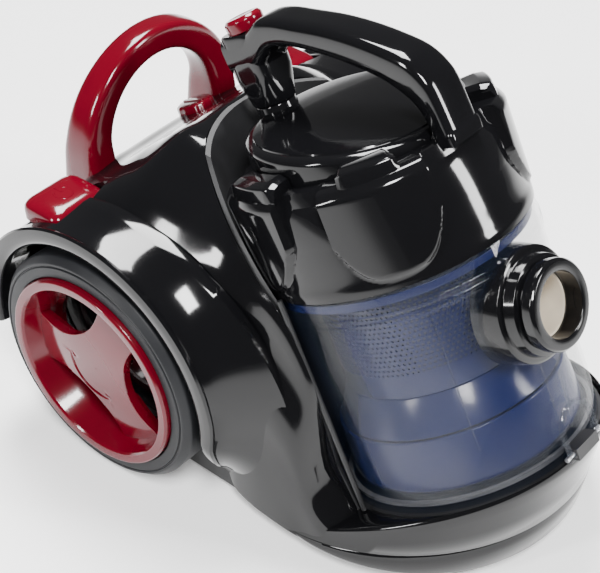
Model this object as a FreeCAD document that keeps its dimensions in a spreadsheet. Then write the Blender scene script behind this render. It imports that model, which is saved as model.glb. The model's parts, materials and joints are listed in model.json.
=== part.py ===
import FreeCAD, Part
import math
import os

import Sketcher

# Canister vacuum cleaner with a lift-off dust bin.
# Frame: +Z up, floor at z = 0, front (hose inlet) towards -Y, X across the machine.
# Bin frame: origin at the centre of the dust cup's foot, Z along the cup, front towards -Y.

Vector = FreeCAD.Vector
Rotation = FreeCAD.Rotation
Placement = FreeCAD.Placement

OUT = "parts"
os.makedirs(OUT, exist_ok=True)
doc = FreeCAD.newDocument("canister_vacuum")

# ---------------------------------------------------------------- driving sizes

SIZES = {
    # walls and gaps
    "wall": 3.0, "skin_gap": 0.5, "seat_gap": 0.3, "run_gap": 0.06, "bin_gap": 2.5,
    # main wheels
    "axle_y": 92.0, "axle_z": 82.0, "tyre_radius": 82.0, "tyre_bead": 68.0, "tyre_width": 27.0,
    "tyre_bevel": 4.0, "wheel_inner": 112.0, "rim_width": 31.0, "rim_lip": 3.2, "axle_radius": 5.0,
    "hub_radius": 12.0, "web_depth": 21.0, "web_thick": 4.0,
    "window_inner": 26.0, "window_outer": 58.0, "window_half_angle": 38.0,
    # housing shell
    "body_half": 108.0, "shell_low": 12.0, "waist_low": 32.0, "floor_low": 6.0,
    "hump_top": 220.0, "hump_flat": 56.0, "tail_y": 185.0, "tail_half": 76.0, "tail_top": 126.0,
    "fender_gap": 6.0, "fender_thick": 12.0, "fender_half": 134.0, "fender_lip": 4.0,
    "nose_y": -62.0, "nose_radius": 115.0, "nose_top_y": -89.0, "nose_top_radius": 98.0,
    "nose_top_z": 82.0, "arm_width": 18.0,
    # bin placement and cup
    "bin_y": -106.0, "bin_z": 44.4, "bin_lean": 26.93, "cup_foot_radius": 83.4,
    "cup_top_radius": 86.2, "cup_height": 146.7, "cup_wall": 2.2, "flap_thick": 3.3,
    "heel_z": 11.0, "seal_thick": 2.4,
    # collar, lid and bin handle
    "shoulder_height": 200.0, "shoulder_drop": 2.2, "collar_top": 212.0, "collar_mouth": 76.5,
    "lid_radius": 66.0, "lid_rear": 240.0, "lid_crown": 411.0, "lug_height": 8.0,
    "handle_width": 29.0, "column_back": 59.5, "column_radius": 13.0, "column_foot": 240.0,
    "button_radius": 12.4, "button_tilt": 8.0, "button_travel": 4.0,
    "rod_radius": 3.0,
    # hose inlet
    "inlet_height": 100.5, "inlet_reach": 107.5, "inlet_bore": 19.6, "inlet_tube": 24.0,
    "inlet_ring": 27.2, "inlet_base": 34.0,
    # separator and filters
    "grille_radius": 60.0, "grille_foot": 66.0, "grille_top": 141.0, "skirt_foot": 45.0,
    "skirt_radius": 73.0, "cartridge_radius": 50.0, "cartridge_bore": 30.0,
    # motor
    "motor_x": -44.0, "motor_z": 100.0, "chamber_radius": 52.0, "chamber_front": 52.0,
    "chamber_length": 98.0, "shroud_radius": 46.0, "stator_radius": 34.0, "shaft_radius": 4.0,
    # cord reel
    "reel_x": 41.0, "reel_y": 110.0, "reel_z": 92.0, "reel_radius": 66.0, "reel_core": 27.0,
    "reel_half": 17.0, "reel_axle": 6.0, "outlet_bore": 4.5,
    # pedals and knob
    "pedal_x": 104.0, "pedal_y": 141.0, "pedal_top": 180.0, "pedal_length": 44.0,
    "pedal_depth": 34.0, "pedal_travel": 4.0, "stem_x": 96.0, "knob_x": 27.0, "knob_y": 149.0,
    "knob_radius": 13.0,
    # rear carry handle
    "arch_y": 165.0, "arch_z": 175.0, "arch_inner": 47.0, "arch_outer": 70.0, "arch_depth": 26.0,
    # front caster
    "caster_y": -130.0, "caster_radius": 13.0, "caster_trail": 8.0, "caster_stem": 4.0,
    "well_radius": 25.0,
}

sheet = doc.addObject("Spreadsheet::Sheet", "Sizes")
for row, (alias, number) in enumerate(SIZES.items(), start=1):
    sheet.set(f"A{row}", alias)
    sheet.set(f"B{row}", str(number))
    sheet.setAlias(f"B{row}", alias)
doc.recompute()


class Size:
    """A number together with the sheet formula that gives it."""

    def __init__(self, number, formula):
        self.number = float(number)
        self.formula = formula

    def combine(self, other, sign, flip=False):
        other = other if isinstance(other, Size) else Size(other, f"{float(other):.6f}")
        left, right = (other, self) if flip else (self, other)
        results = {
            "+": left.number + right.number,
            "-": left.number - right.number,
            "*": left.number * right.number,
            "/": left.number / right.number if right.number else 0.0,
        }
        return Size(results[sign], f"({left.formula} {sign} {right.formula})")

    def __add__(self, other):
        return self.combine(other, "+")

    def __sub__(self, other):
        return self.combine(other, "-")

    def __mul__(self, other):
        return self.combine(other, "*")

    def __truediv__(self, other):
        return self.combine(other, "/")

    def __radd__(self, other):
        return self.combine(other, "+", flip=True)

    def __rsub__(self, other):
        return self.combine(other, "-", flip=True)

    def __rmul__(self, other):
        return self.combine(other, "*", flip=True)

    def __neg__(self):
        return self.combine(-1, "*")

    def __float__(self):
        return self.number


def size(name):
    return Size(SIZES[name], f"Sizes.{name}")


def sine(angle):
    return Size(math.sin(math.radians(angle.number)), f"sin({angle.formula})")


def cosine(angle):
    return Size(math.cos(math.radians(angle.number)), f"cos({angle.formula})")


# ---------------------------------------------------------------- document helpers

def bind(thing, path, value):
    """Ties a property to its formula, or sets it when it is a plain number."""
    if isinstance(value, Size):
        thing.setExpression(path, value.formula)
    elif path.isalnum():
        setattr(thing, path, value)


def put(thing, at=(0, 0, 0), turn=None):
    """Sets a placement and binds its three distances."""
    thing.Placement = Placement(Vector(*[float(value) for value in at]), turn or Rotation())
    for letter, value in zip("xyz", at):
        bind(thing, f"Placement.Base.{letter}", value)
    return thing


ALONG = {"Z": Rotation(), "X": Rotation(Vector(0, 1, 0), 90), "Y": Rotation(Vector(1, 0, 0), -90)}


def rod(radius, length, at=(0, 0, 0), along="Z", angle=360.0, start=0.0):
    solid = doc.addObject("Part::Cylinder", "Rod")
    bind(solid, "Radius", radius)
    bind(solid, "Height", length)
    bind(solid, "Angle", angle)
    return put(solid, at, ALONG[along] * Rotation(Vector(0, 0, 1), start))


def cone(foot, top, length, at=(0, 0, 0)):
    solid = doc.addObject("Part::Cone", "Taper")
    bind(solid, "Radius1", foot)
    bind(solid, "Radius2", top)
    bind(solid, "Height", length)
    return put(solid, at)


def block(low, high, turn=None):
    """Box between two corners."""
    solid = doc.addObject("Part::Box", "Block")
    for path, first, last in zip(("Length", "Width", "Height"), low, high):
        bind(solid, path, last - first)
    return put(solid, low, turn)


def fuse(*solids):
    joined = doc.addObject("Part::MultiFuse", "Joined")
    joined.Shapes = list(solids)
    joined.Refine = True
    return joined


def cut(base, *tools):
    result = doc.addObject("Part::Cut", "Trimmed")
    result.Base = base
    result.Tool = tools[0] if len(tools) == 1 else fuse(*tools)
    result.Refine = False
    return result


def common(first, second):
    result = doc.addObject("Part::MultiCommon", "Shared")
    result.Shapes = [first, second]
    return result


def tube(outer, inner, length, at=(0, 0, 0), along="Z"):
    over = 1.0
    step = {"X": (over, 0, 0), "Y": (0, over, 0), "Z": (0, 0, over)}[along]
    start = tuple(value - shift for value, shift in zip(at, step))
    return cut(rod(outer, length, at, along), rod(inner, length + 2 * over, start, along))


def plane_of(body, role):
    return [plane for plane in body.Origin.OriginFeatures if plane.Role == role][0]


def corners(sketch, points):
    """Closed polyline; each corner is held by its two distances from the sketch origin."""
    numbers = [Vector(float(x), float(y), 0) for x, y in points]
    count = len(numbers)
    for index in range(count):
        sketch.addGeometry(Part.LineSegment(numbers[index], numbers[(index + 1) % count]), False)
    for index in range(count):
        sketch.addConstraint(Sketcher.Constraint("Coincident", index, 2, (index + 1) % count, 1))
    for index, pair in enumerate(points):
        for kind, value in zip(("DistanceX", "DistanceY"), pair):
            held = sketch.addConstraint(
                Sketcher.Constraint(kind, -1, 1, index, 1, float(value)))
            bind(sketch, f"Constraints[{held}]", value)


def body_sketch(body, role, points, offset=0.0):
    sketch = body.newObject("Sketcher::SketchObject", "Outline")
    sketch.AttachmentSupport = (plane_of(body, role), [""])
    sketch.MapMode = "FlatFace"
    sketch.AttachmentOffset = Placement(Vector(0, 0, float(offset)), Rotation())
    bind(sketch, "AttachmentOffset.Base.z", offset)
    corners(sketch, points)
    return sketch


def lathe(points):
    """Solid of revolution about Z; the points are (radius, height)."""
    body = doc.addObject("PartDesign::Body", "Turned")
    sketch = body_sketch(body, "XZ_Plane", points)
    turn = body.newObject("PartDesign::Revolution", "Turn")
    turn.Profile = sketch
    turn.ReferenceAxis = (sketch, ["V_Axis"])
    turn.Angle = 360.0
    return body


def extrude(role, points, length, offset=0.0):
    body = doc.addObject("PartDesign::Body", "Extruded")
    sketch = body_sketch(body, role, points, offset)
    pad = body.newObject("PartDesign::Pad", "Pad")
    pad.Profile = sketch
    bind(pad, "Length", length)
    return body


def loft(stations):
    """Ruled solid through upright closed outlines, given as (y, points)."""
    result = doc.addObject("Part::Loft", "Loft")
    outlines = []
    for y, points in stations:
        sketch = doc.addObject("Sketcher::SketchObject", "Station")
        corners(sketch, points)
        put(sketch, (0, y, 0), Rotation(Vector(1, 0, 0), 90))
        outlines.append(sketch)
    result.Sections = outlines
    result.Solid = True
    result.Ruled = True
    return result


def mirrored_outline(half):
    """Half an outline, from the bottom up, completed on the other side of x = 0."""
    return list(half) + [(-x, z) for x, z in reversed(half)]


NODES = {}


def node(label, thing, place=None):
    """Names a finished sub-part and gives it its place."""
    thing.Label = label
    if place is not None:
        thing.Placement = place
    NODES[label] = thing
    return thing


def lean_place():
    lean = Rotation(Vector(1, 0, 0), -SIZES["bin_lean"])
    return Placement(Vector(0, SIZES["bin_y"], SIZES["bin_z"]), lean)


def carry(thing, frame):
    """Moves a placed piece together with the frame it was drawn in."""
    for letter in "xyz":
        thing.setExpression(f"Placement.Base.{letter}", None)
    thing.Placement = frame.multiply(thing.Placement)
    return thing


def from_bin(thing):
    """A piece drawn in the bin frame, stood in the machine at the bin's lean."""
    return carry(thing, lean_place())


def bin_node(label, thing):
    return node(label, from_bin(thing))


# ---------------------------------------------------------------- named sizes used below

wall, skin_gap, seat_gap, run_gap = (size(name) for name in
                                     ("wall", "skin_gap", "seat_gap", "run_gap"))
axle_y, axle_z = size("axle_y"), size("axle_z")
recess_radius = size("cup_top_radius") + size("bin_gap")
cradle_radius = recess_radius + wall
seat_thick = 2.7
FAR = 300.0


# ---------------------------------------------------------------- main wheels

def wheel(side):
    """Tyre, rim and axle; drawn with Z outwards from the wheel's inner face."""
    name = "left" if side < 0 else "right"
    turn = Rotation(Vector(0, 1, 0), 90 * side)
    start = (side * size("wheel_inner"), axle_y, axle_z)
    bead, tread, width, bevel = (size(key) for key in
                                 ("tyre_bead", "tyre_radius", "tyre_width", "tyre_bevel"))
    tyre = lathe([(bead, 0), (tread - bevel, 0), (tread, bevel), (tread, width - bevel),
                  (tread - bevel, width), (bead, width)])
    node(f"tyre_{name}", put(tyre, start, turn))

    rim_radius = bead
    rim_depth, lip, hub = size("rim_width"), size("rim_lip"), size("hub_radius")
    bore = size("axle_radius") + run_gap
    web, web_thick = size("web_depth"), size("web_thick")
    hub_face = web + web_thick + 1.0
    rim = lathe([(bore, 0), (hub, 0), (hub, web), (rim_radius - lip, web), (rim_radius - lip, 1),
                 (rim_radius, 1), (rim_radius, rim_depth), (rim_radius - lip, rim_depth),
                 (rim_radius - lip, web + web_thick), (hub + 6, hub_face), (0, hub_face),
                 (0, web), (bore, web)])
    doc.recompute()
    window = rim.newObject("Sketcher::SketchObject", "Window")
    window.AttachmentSupport = (plane_of(rim, "XY_Plane"), [""])
    window.MapMode = "FlatFace"
    half = size("window_half_angle")
    near, far = size("window_inner"), size("window_outer")
    middle = near * 0.25 + far * 0.75
    corners(window, [(near, 0), (middle * cosine(half * 0.8), middle * sine(half * 0.8)),
                     (far * cosine(half), far * sine(half)), (far, 0),
                     (far * cosine(half), -(far * sine(half))),
                     (middle * cosine(half * 0.8), -(middle * sine(half * 0.8)))])
    before = rim.Shape.Volume
    pocket = rim.newObject("PartDesign::Pocket", "WindowCut")
    pocket.Profile = window
    pocket.SideType = "Two sides"
    pocket.Type = "Length"
    bind(pocket, "Length", rim_depth + 5)
    bind(pocket, "Length2", rim_depth + 5)
    doc.recompute()
    assert rim.Shape.Volume < before - 1
    pattern = rim.newObject("PartDesign::PolarPattern", "Windows")
    pattern.Originals = [pocket]
    pattern.Axis = (window, ["N_Axis"])
    pattern.Angle = 360.0
    pattern.Occurrences = 3
    rim.Tip = pattern
    spin = Rotation(Vector(0, 0, 1), 90 if side < 0 else -90)
    node(f"rim_{name}", put(rim, start, turn * spin))

    inside = 9.0
    axle = fuse(rod(size("axle_radius"), size("web_depth") - 1 + inside, (0, 0, -inside)),
                rod(size("axle_radius") + 3, 2.0, (0, 0, -inside - 2)))
    node(f"axle_{name}", put(axle, start, turn))


wheel(-1)
wheel(1)

# ---------------------------------------------------------------- housing forms


def station(y, half, side_z, crest, crest_z, flat, top, inset):
    """One upright section of the body: sill, side, crest and top, less an inset."""
    sill = size("shell_low") - 2 * inset
    return y, mirrored_outline([
        (half - 4 - inset, sill), (half - inset, side_z), (crest - inset, crest_z - inset),
        (flat - inset * 0.5, top - inset)])


deck_run, deck_rise = 48.0, 93.0
roof_run, roof_drop = 16.0, 8.0


def hump_form(inset):
    """The body behind and beside the bin, from the tail to the toes of the two arms."""
    half, top, flat = size("body_half"), size("hump_top"), size("hump_flat")
    arm = recess_radius
    outside = arm + size("arm_width")
    end = 0.0 if not isinstance(inset, Size) else inset
    return loft([
        station(size("tail_y") - end, size("tail_half"), axle_z - 22, size("tail_half") - 14,
                size("tail_top") - 14, size("tail_half") - 40, size("tail_top"), inset),
        station(axle_y + 78, half - 4, axle_z - 10, half - 12, axle_z + 46, flat + 14,
                axle_z + 68, inset),
        station(axle_y + deck_run + roof_run, half - 1, axle_z + 13, half - 4, axle_z + 68,
                flat + 14, axle_z + deck_rise - roof_drop, inset),
        station(axle_y + deck_run, half, axle_z + 28, half - 2, axle_z + 78, flat + 14,
                axle_z + deck_rise, inset),
        station(axle_y - 7, half, axle_z + 48, half - 8, axle_z + 100, flat, top, inset),
        station(axle_y - 36, half, axle_z + 48, half - 8, axle_z + 94, flat, top - 3, inset),
        station(axle_y - 75, outside + 3, axle_z + 38, arm + 9, axle_z + 85, arm - 12,
                axle_z + 108, inset),
        station(axle_y - 117, outside + 4, axle_z + 13, arm + 8, axle_z + 54, arm - 4,
                axle_z + 85, inset),
        station(axle_y - 140, outside + 4, axle_z - 7, arm + 9, axle_z + 30, arm - 3,
                axle_z + 46, inset),
        station(axle_y - 158, outside + 4, axle_z - 42, arm + 9, axle_z - 32, arm - 2,
                axle_z - 22, inset),
        station(axle_y - 176, outside, axle_z - 58, arm + 9, axle_z - 52, arm - 2,
                axle_z - 47, inset),
    ])


def nose_form(inset, lift):
    """Round nose under the bin, cut off along the cup's foot."""
    low = size("shell_low") - 2 * inset
    foot = size("nose_radius") - inset
    top = size("nose_top_radius") - inset
    bottom_ring = doc.addObject("Part::Circle", "NoseFoot")
    bind(bottom_ring, "Radius", foot)
    put(bottom_ring, (0, size("nose_y"), low))
    top_ring = doc.addObject("Part::Circle", "NoseTop")
    bind(top_ring, "Radius", top)
    put(top_ring, (0, size("nose_top_y"), size("nose_top_z")))
    frustum = doc.addObject("Part::Loft", "Nose")
    frustum.Sections = [bottom_ring, top_ring]
    frustum.Solid = True
    frustum.Ruled = True
    above = block((-FAR, -FAR, lift), (FAR, FAR, FAR))
    return cut(frustum, from_bin(above))


def fender_form(side):
    """Mudguard over one main wheel, with its raised lip."""
    inner = size("tyre_radius") + size("fender_gap")
    outer = inner + size("fender_thick")
    half, lip = size("fender_half"), size("fender_lip")
    root = size("body_half") - 14
    lip_rise = 1.0

    def ring(big, small, first, last):
        start = first if side > 0 else -last
        return tube(big, small, last - first, (start, axle_y, axle_z), "X")

    guard = ring(outer, inner, root, half)
    edge = ring(outer + lip_rise, outer - 6, half - 3, half + lip)
    front = size("bin_y") - FAR
    behind = block((-FAR, axle_y, -FAR), (FAR, FAR, axle_z + 42))
    guard = cut(guard, block((-FAR, front, -FAR), (FAR, FAR, axle_z - 40)), behind)
    edge = cut(edge, block((-FAR, front, -FAR), (FAR, FAR, axle_z + 26)), behind)
    return fuse(guard, edge)


def outer_form():
    return fuse(hump_form(0.0), nose_form(0.0, 1.0))


def bin_recess(radius, low):
    """Clearance for the bin, a cylinder along the bin's axis."""
    return from_bin(rod(radius, FAR, (0, 0, low)))


# ---------------------------------------------------------------- upper housing

pedal_gap = 0.8
pocket_floor = size("pedal_top") - 20.0
guide_z = size("pedal_top") - 30.0


def pedal_pocket(side):
    half = size("pedal_length") / 2 + pedal_gap
    deep = size("pedal_depth") / 2 + pedal_gap
    x = side * size("pedal_x")
    return block((x - half, size("pedal_y") - deep, pocket_floor),
                 (x + half, size("pedal_y") + deep, FAR))


def stem_guide(side):
    """Ledge inside the housing that guides a pedal's stem and carries its spring."""
    inner, outer = size("stem_x") - 9, size("body_half") - 1
    low = (inner, size("pedal_y") - 9, guide_z)
    high = (outer, size("pedal_y") + 9, guide_z + 2)
    if side < 0:
        low, high = (-outer, low[1], low[2]), (-inner, high[1], high[2])
    return block(low, high)


def axle_boss(side):
    inner, outer = size("wheel_inner") - 9, size("wheel_inner") - skin_gap
    start = inner if side > 0 else -outer
    return rod(16.0, outer - inner, (start, axle_y, axle_z), "X")


def axle_hole(side):
    inner = size("wheel_inner") - 20
    start = inner if side > 0 else -size("wheel_inner")
    return rod(size("axle_radius"), 20.0, (start, axle_y, axle_z), "X")


def on_roof(thing):
    """Stands a piece drawn about Z on the sloping roof at the knob."""
    slope = math.degrees(math.atan2(roof_drop, roof_run))
    along = SIZES["knob_y"] - SIZES["axle_y"] - deck_run
    height = SIZES["axle_z"] + deck_rise - along * roof_drop / roof_run
    spot = Vector(SIZES["knob_x"], SIZES["knob_y"], height)
    return carry(thing, Placement(spot, Rotation(Vector(1, 0, 0), -slope)))


grille_low = (size("motor_x") - 18, size("tail_y") - wall, axle_z - 32)
grille_high = (size("motor_x") + 32, size("tail_y"), axle_z + 12)
outlet_at = (size("reel_x"), size("tail_y") - 8, axle_z - 20)


def upper_housing():
    inset = wall
    hollow = fuse(hump_form(inset), nose_form(inset, -(seat_thick + seat_gap + wall)))
    skirt_box = block((-FAR, axle_y - 96, -FAR), (FAR, FAR, size("waist_low")))
    sill_box = block((-FAR, -FAR, -FAR), (FAR, FAR, size("shell_low")))
    shell = cut(fuse(outer_form(), fender_form(-1), fender_form(1)), hollow, skirt_box, sill_box)
    shell = fuse(shell, stem_guide(-1), stem_guide(1), axle_boss(-1), axle_boss(1))
    foot_gap = size("cup_foot_radius") + 2
    latch_notch = from_bin(block((-20, -(foot_gap + 12), -2), (20, -(foot_gap - 6), FAR)))
    guide_holes = [rod(4.1, 20, (side * size("stem_x"), size("pedal_y"), guide_z - 10))
                   for side in (-1, 1)]
    spring_wells = [rod(8.0, 40, (side * size("stem_x"), size("pedal_y"), guide_z + 2))
                    for side in (-1, 1)]
    openings = [
        bin_recess(cradle_radius, 3.0),
        from_bin(common(rod(cradle_radius, FAR, (0, 0, -(seat_thick + 2 * seat_gap))),
                        block((-FAR, 15, -FAR), (FAR, FAR, FAR)))),
        bin_recess(foot_gap, -(seat_thick + seat_gap)),
        latch_notch,
        on_roof(rod(3.2 + run_gap, 40, (0, 0, -30))),
        block((grille_low[0] - skin_gap, grille_low[1] - 10, grille_low[2] - skin_gap),
              (grille_high[0] + skin_gap, grille_high[1] + 10, grille_high[2] + skin_gap)),
        rod(9.0, 30, (outlet_at[0], outlet_at[1] - 5, outlet_at[2]), "Y"),
    ]
    openings += [pedal_pocket(side) for side in (-1, 1)]
    openings += [axle_hole(side) for side in (-1, 1)]
    openings += guide_holes + spring_wells
    return cut(shell, *openings)


node("upper_housing", upper_housing())


# ---------------------------------------------------------------- lower housing

screw_spots = [(side * 84.0, axle_y + along) for side in (-1, 1) for along in (-78.0, 62.0)]
floor_top = size("floor_low") + wall
well_top = size("floor_low") + 28


def tray_form(inset, low, high):
    half = size("body_half") - 4 - inset
    rear = size("tail_y") - skin_gap - inset
    front = axle_y - 95.5 + inset
    toe = half - 5.5
    plan = [(size("tail_half") - 4 - inset, rear), (half - 4.5, axle_y + 77),
            (half, axle_y + 48), (half, front), (toe, front), (toe, axle_y - 150)]
    outline = plan + [(-x, y) for x, y in reversed(plan)]
    tray = extrude("XY_Plane", outline, high - low, low)
    nose = rod(size("nose_radius") - wall - 4 - inset, size("shell_low") + 2 - low,
               (0, size("nose_y") - 2, low))
    return tray, nose


def lower_housing():
    tray, nose = tray_form(0.0, size("floor_low"), size("waist_low") - seat_gap)
    tray_gap, nose_gap = tray_form(wall, floor_top, size("waist_low") + 10)
    outer = fuse(tray, nose, rod(size("well_radius") + wall, well_top - size("floor_low"),
                                 (0, size("caster_y"), size("floor_low"))))
    bosses = [rod(5.5, size("waist_low") - floor_top, (x, y, size("floor_low")))
              for x, y in screw_spots]
    stem_boss = rod(9.0, 14.0, (0, size("caster_y"), well_top - 1))
    well_wall = tube(size("well_radius") + wall, size("well_radius"), well_top - floor_top + 1,
                     (0, size("caster_y"), floor_top - 1))
    well_roof = rod(size("well_radius") + wall, wall, (0, size("caster_y"), well_top - wall))
    shell = fuse(cut(outer, fuse(tray_gap, nose_gap)), well_wall, well_roof, stem_boss, *bosses)
    stem_bore = size("caster_stem") + run_gap
    holes = [rod(size("well_radius"), well_top - wall - size("floor_low") + 1,
                 (0, size("caster_y"), size("floor_low") - 1)),
             rod(stem_bore, 60, (0, size("caster_y"), size("floor_low"))),
             bin_recess(cradle_radius + skin_gap, -(seat_thick + seat_gap + 0.3))]
    holes += [rod(4.4, 2.6, (x, y, size("floor_low") - 0.1)) for x, y in screw_spots]
    holes += [rod(2.0, 60, (x, y, size("floor_low"))) for x, y in screw_spots]
    trimmed = cut(shell, *holes)
    return fuse(trimmed, heel_floor())


def heel_floor():
    """Flat skin that closes the floor below the cup's heel."""
    return block((-62, size("bin_y") + 44, size("floor_low")),
                 (62, size("bin_y") + 96, size("heel_z") - 2))


node("lower_housing", lower_housing())


def housing_screws():
    screws = []
    for x, y in screw_spots:
        screws.append(rod(2.0, size("waist_low") - floor_top - 2, (x, y, floor_top - 1)))
        screws.append(rod(4.0, 2.0, (x, y, size("floor_low") + 0.4)))
    return fuse(*screws)


node("housing_screws", housing_screws())


# ---------------------------------------------------------------- bin cradle and its port

port_height = 165.0
port_radius = 19.0


def port_tool(radius, reach_in, reach_out):
    """Cylinder through the back of the bin at the air port, along the bin frame's Y."""
    return rod(radius, reach_out - reach_in, (0, reach_in, port_height), "Y")


def bin_cradle():
    """Half tube behind the cup and the seat below it, trimmed to the housing."""
    back = tube(cradle_radius - 0.2, recess_radius, FAR, (0, 0, -(seat_thick + seat_gap)))
    behind = block((-FAR, 18, -FAR), (FAR, FAR, FAR))
    back = common(back, behind)
    seat = rod(size("cup_foot_radius") + 1.7, seat_thick, (0, 0, -(seat_thick + seat_gap)))
    gap_ring = tube(recess_radius + 1, size("cup_foot_radius") + 1, seat_thick,
                    (0, 0, -(seat_thick + seat_gap)))
    gap_ring = common(gap_ring, block((-FAR, 18, -FAR), (FAR, FAR, FAR)))
    solid = from_bin(cut(fuse(back, seat, gap_ring), port_tool(port_radius, 60, 120),
                         rod(6.2, 60, (0, 60, catch_height), "Y")))
    return cut(common(solid, outer_form()),
               block((-FAR, -FAR, -FAR), (FAR, FAR, size("heel_z") - 1.7)))


catch_height = 192.0
node("bin_cradle", bin_cradle())

bin_node("port_seal", tube(port_radius - 0.05, port_radius - 5,
                           cradle_radius - recess_radius + 3.5,
                           (0, recess_radius - 1.0, port_height), "Y"))

bin_node("bin_catch", fuse(rod(6.0, 13.0, (0, recess_radius - 1.5, catch_height), "Y"),
                           rod(8.0, 3.0, (0, recess_radius + 8.0, catch_height), "Y")))


# ---------------------------------------------------------------- dust cup

foot_radius, top_radius = size("cup_foot_radius"), size("cup_top_radius")
cup_top, cup_wall, flap_thick = size("cup_height"), size("cup_wall"), size("flap_thick")


def cup_radius_at(height):
    return foot_radius + (top_radius - foot_radius) * height / cup_top


def heel_cutter():
    """World-level cut that leaves the heel of the bin clear of the floor skin."""
    low = (-FAR, size("bin_y") - FAR, size("heel_z") - FAR)
    return carry(block(low, (FAR, size("bin_y") + FAR, size("heel_z"))), lean_place().inverse())


def dust_cup():
    low = flap_thick + seat_gap
    shell = lathe([(cup_radius_at(low) - cup_wall, low), (cup_radius_at(low), low),
                   (top_radius, cup_top), (top_radius - cup_wall, cup_top)])
    mouth = rod(size("inlet_bore") + 2, FAR, (0, -FAR, size("inlet_height")), "Y")
    return cut(shell, mouth, heel_cutter())


bin_node("dust_cup", dust_cup())
bin_node("cup_flap", cut(rod(foot_radius - 0.3, flap_thick), heel_cutter()))

seal_outer = foot_radius - cup_wall - 0.4
bin_node("flap_seal", cut(tube(seal_outer, seal_outer - 3, size("seal_thick"),
                               (0, 0, flap_thick + 0.02)), heel_cutter()))

# flap latch: block, pin and a D-shaped pull ring lying against the cup
latch_y = -(foot_radius + 5.6)
latch_z = 4.5
ring_radius, ring_wire, ring_rise = 14.5, 2.2, 14.0
pin_radius = 1.5
latch_half = 11.0

bin_node("latch_block", cut(
    block((-latch_half, latch_y - 3.4, 0.0), (latch_half, -(foot_radius + 0.3), latch_z + 3.0)),
    rod(pin_radius, 2 * FAR, (-FAR, latch_y, latch_z), "X")))
bin_node("latch_pin", rod(pin_radius, 2 * (ring_radius + 4), (-(ring_radius + 4), latch_y, latch_z),
                          "X"))


def latch_ring():
    torus = doc.addObject("Part::Torus", "Bow")
    torus.Radius1 = ring_radius
    torus.Radius2 = ring_wire
    put(torus, (0, latch_y, latch_z + ring_rise), Rotation(Vector(1, 0, 0), 90))
    bow = common(torus, block((-FAR, -FAR, latch_z + ring_rise), (FAR, FAR, FAR)))
    pieces = [bow]
    for side in (-1, 1):
        x = side * ring_radius
        pieces.append(rod(ring_wire, ring_rise, (x, latch_y, latch_z)))
        pieces.append(rod(3.6, 5.0, (x - 2.5, latch_y, latch_z), "X"))
    holes = rod(pin_radius + 0.05, 2 * FAR, (-FAR, latch_y, latch_z), "X")
    return cut(fuse(*pieces), holes)


bin_node("latch_ring", latch_ring())


# ---------------------------------------------------------------- hose inlet

def inlet_nozzle():
    """Stepped tube on the cup's front; drawn about Z, then laid along the bin's front."""
    bore, tube_radius, base = size("inlet_bore"), size("inlet_tube"), size("inlet_base")
    reach = size("inlet_reach")
    neck = tube_radius + 4.5
    profile = lathe([(bore, 60), (base, 60), (base, reach - 19), (base - 2, reach - 17.5),
                     (neck, reach - 16.5), (neck, reach - 13), (neck - 1.5, reach - 13),
                     (neck - 1.5, reach - 11.5), (neck, reach - 11.5), (neck, reach - 9.5),
                     (tube_radius, reach - 9.5), (tube_radius, reach), (bore, reach)])
    put(profile, (0, 0, size("inlet_height")), Rotation(Vector(1, 0, 0), 90))
    saddle = cone(foot_radius + 0.1, top_radius + 0.1, cup_top)
    slots = [block((-4, -(reach + 1), size("inlet_height") + side * (bore + 1.2) - 1.5),
                   (4, -(reach - 7), size("inlet_height") + side * (bore + 1.2) + 1.5))
             for side in (-1, 1)]
    return cut(profile, saddle, *slots)


bin_node("inlet_nozzle", inlet_nozzle())
bin_node("nozzle_ring", tube(size("inlet_ring"), size("inlet_tube") + 0.02, 9.3,
                             (0, -size("inlet_reach"), size("inlet_height")), "Y"))


# ---------------------------------------------------------------- separator and filters

grille_r, grille_foot, grille_top = size("grille_radius"), size("grille_foot"), size("grille_top")
bin_node("separator_grille", lathe([
    (grille_r - 2, grille_foot), (grille_r, grille_foot), (grille_r, grille_top - 3),
    (top_radius - cup_wall - 1.2, grille_top), (top_radius - cup_wall - 1.2, grille_top + 2.5),
    (grille_r - 2, grille_top + 2.5)]))
bin_node("separator_skirt", lathe([
    (0, grille_foot - 4), (grille_r - 4, grille_foot - 4), (size("skirt_radius") - 3, size("skirt_foot")),
    (size("skirt_radius"), size("skirt_foot")), (grille_r, grille_foot - 0.2),
    (0, grille_foot - 0.2)]))
cartridge_low, cartridge_high = grille_foot + 0.3, size("cup_height") + 30
bin_node("cartridge_filter", lathe([
    (size("cartridge_bore"), cartridge_low), (size("cartridge_radius"), cartridge_low),
    (size("cartridge_radius"), cartridge_high), (size("cartridge_bore"), cartridge_high)]))


# ---------------------------------------------------------------- collar, lid and bin handle

shoulder, collar_top = size("shoulder_height"), size("collar_top")
collar_wall = 2.6
lug_spots = ((-47.5, 23.0), (-100.0, 32.0), (47.5, 23.0), (100.0, 32.0))


def collar_cover():
    """Black cover over the cup's mouth, with four locking lugs round the lid."""
    shoulder_radius = top_radius - size("shoulder_drop")
    mouth, lid = size("collar_mouth"), size("lid_radius")
    shell = lathe([
        (top_radius - collar_wall, cup_top + 0.1), (top_radius, cup_top + 0.1),
        (shoulder_radius, shoulder), (mouth, collar_top), (lid + 0.3, collar_top),
        (lid + 0.3, collar_top - collar_wall), (mouth - 1.5, collar_top - collar_wall),
        (shoulder_radius - collar_wall, shoulder - 1)])
    lugs = []
    for middle, spread in lug_spots:
        first = -90 - middle - spread / 2
        wedge = rod(mouth - 0.5, size("lug_height") + 0.5, (0, 0, collar_top - 0.5), "Z",
                    spread, first)
        lugs.append(cut(wedge, rod(lid + 0.3, FAR, (0, 0, collar_top - 5))))
    return cut(fuse(shell, *lugs), port_tool(port_radius - 5, 60, 120))


bin_node("collar_cover", collar_cover())

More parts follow.
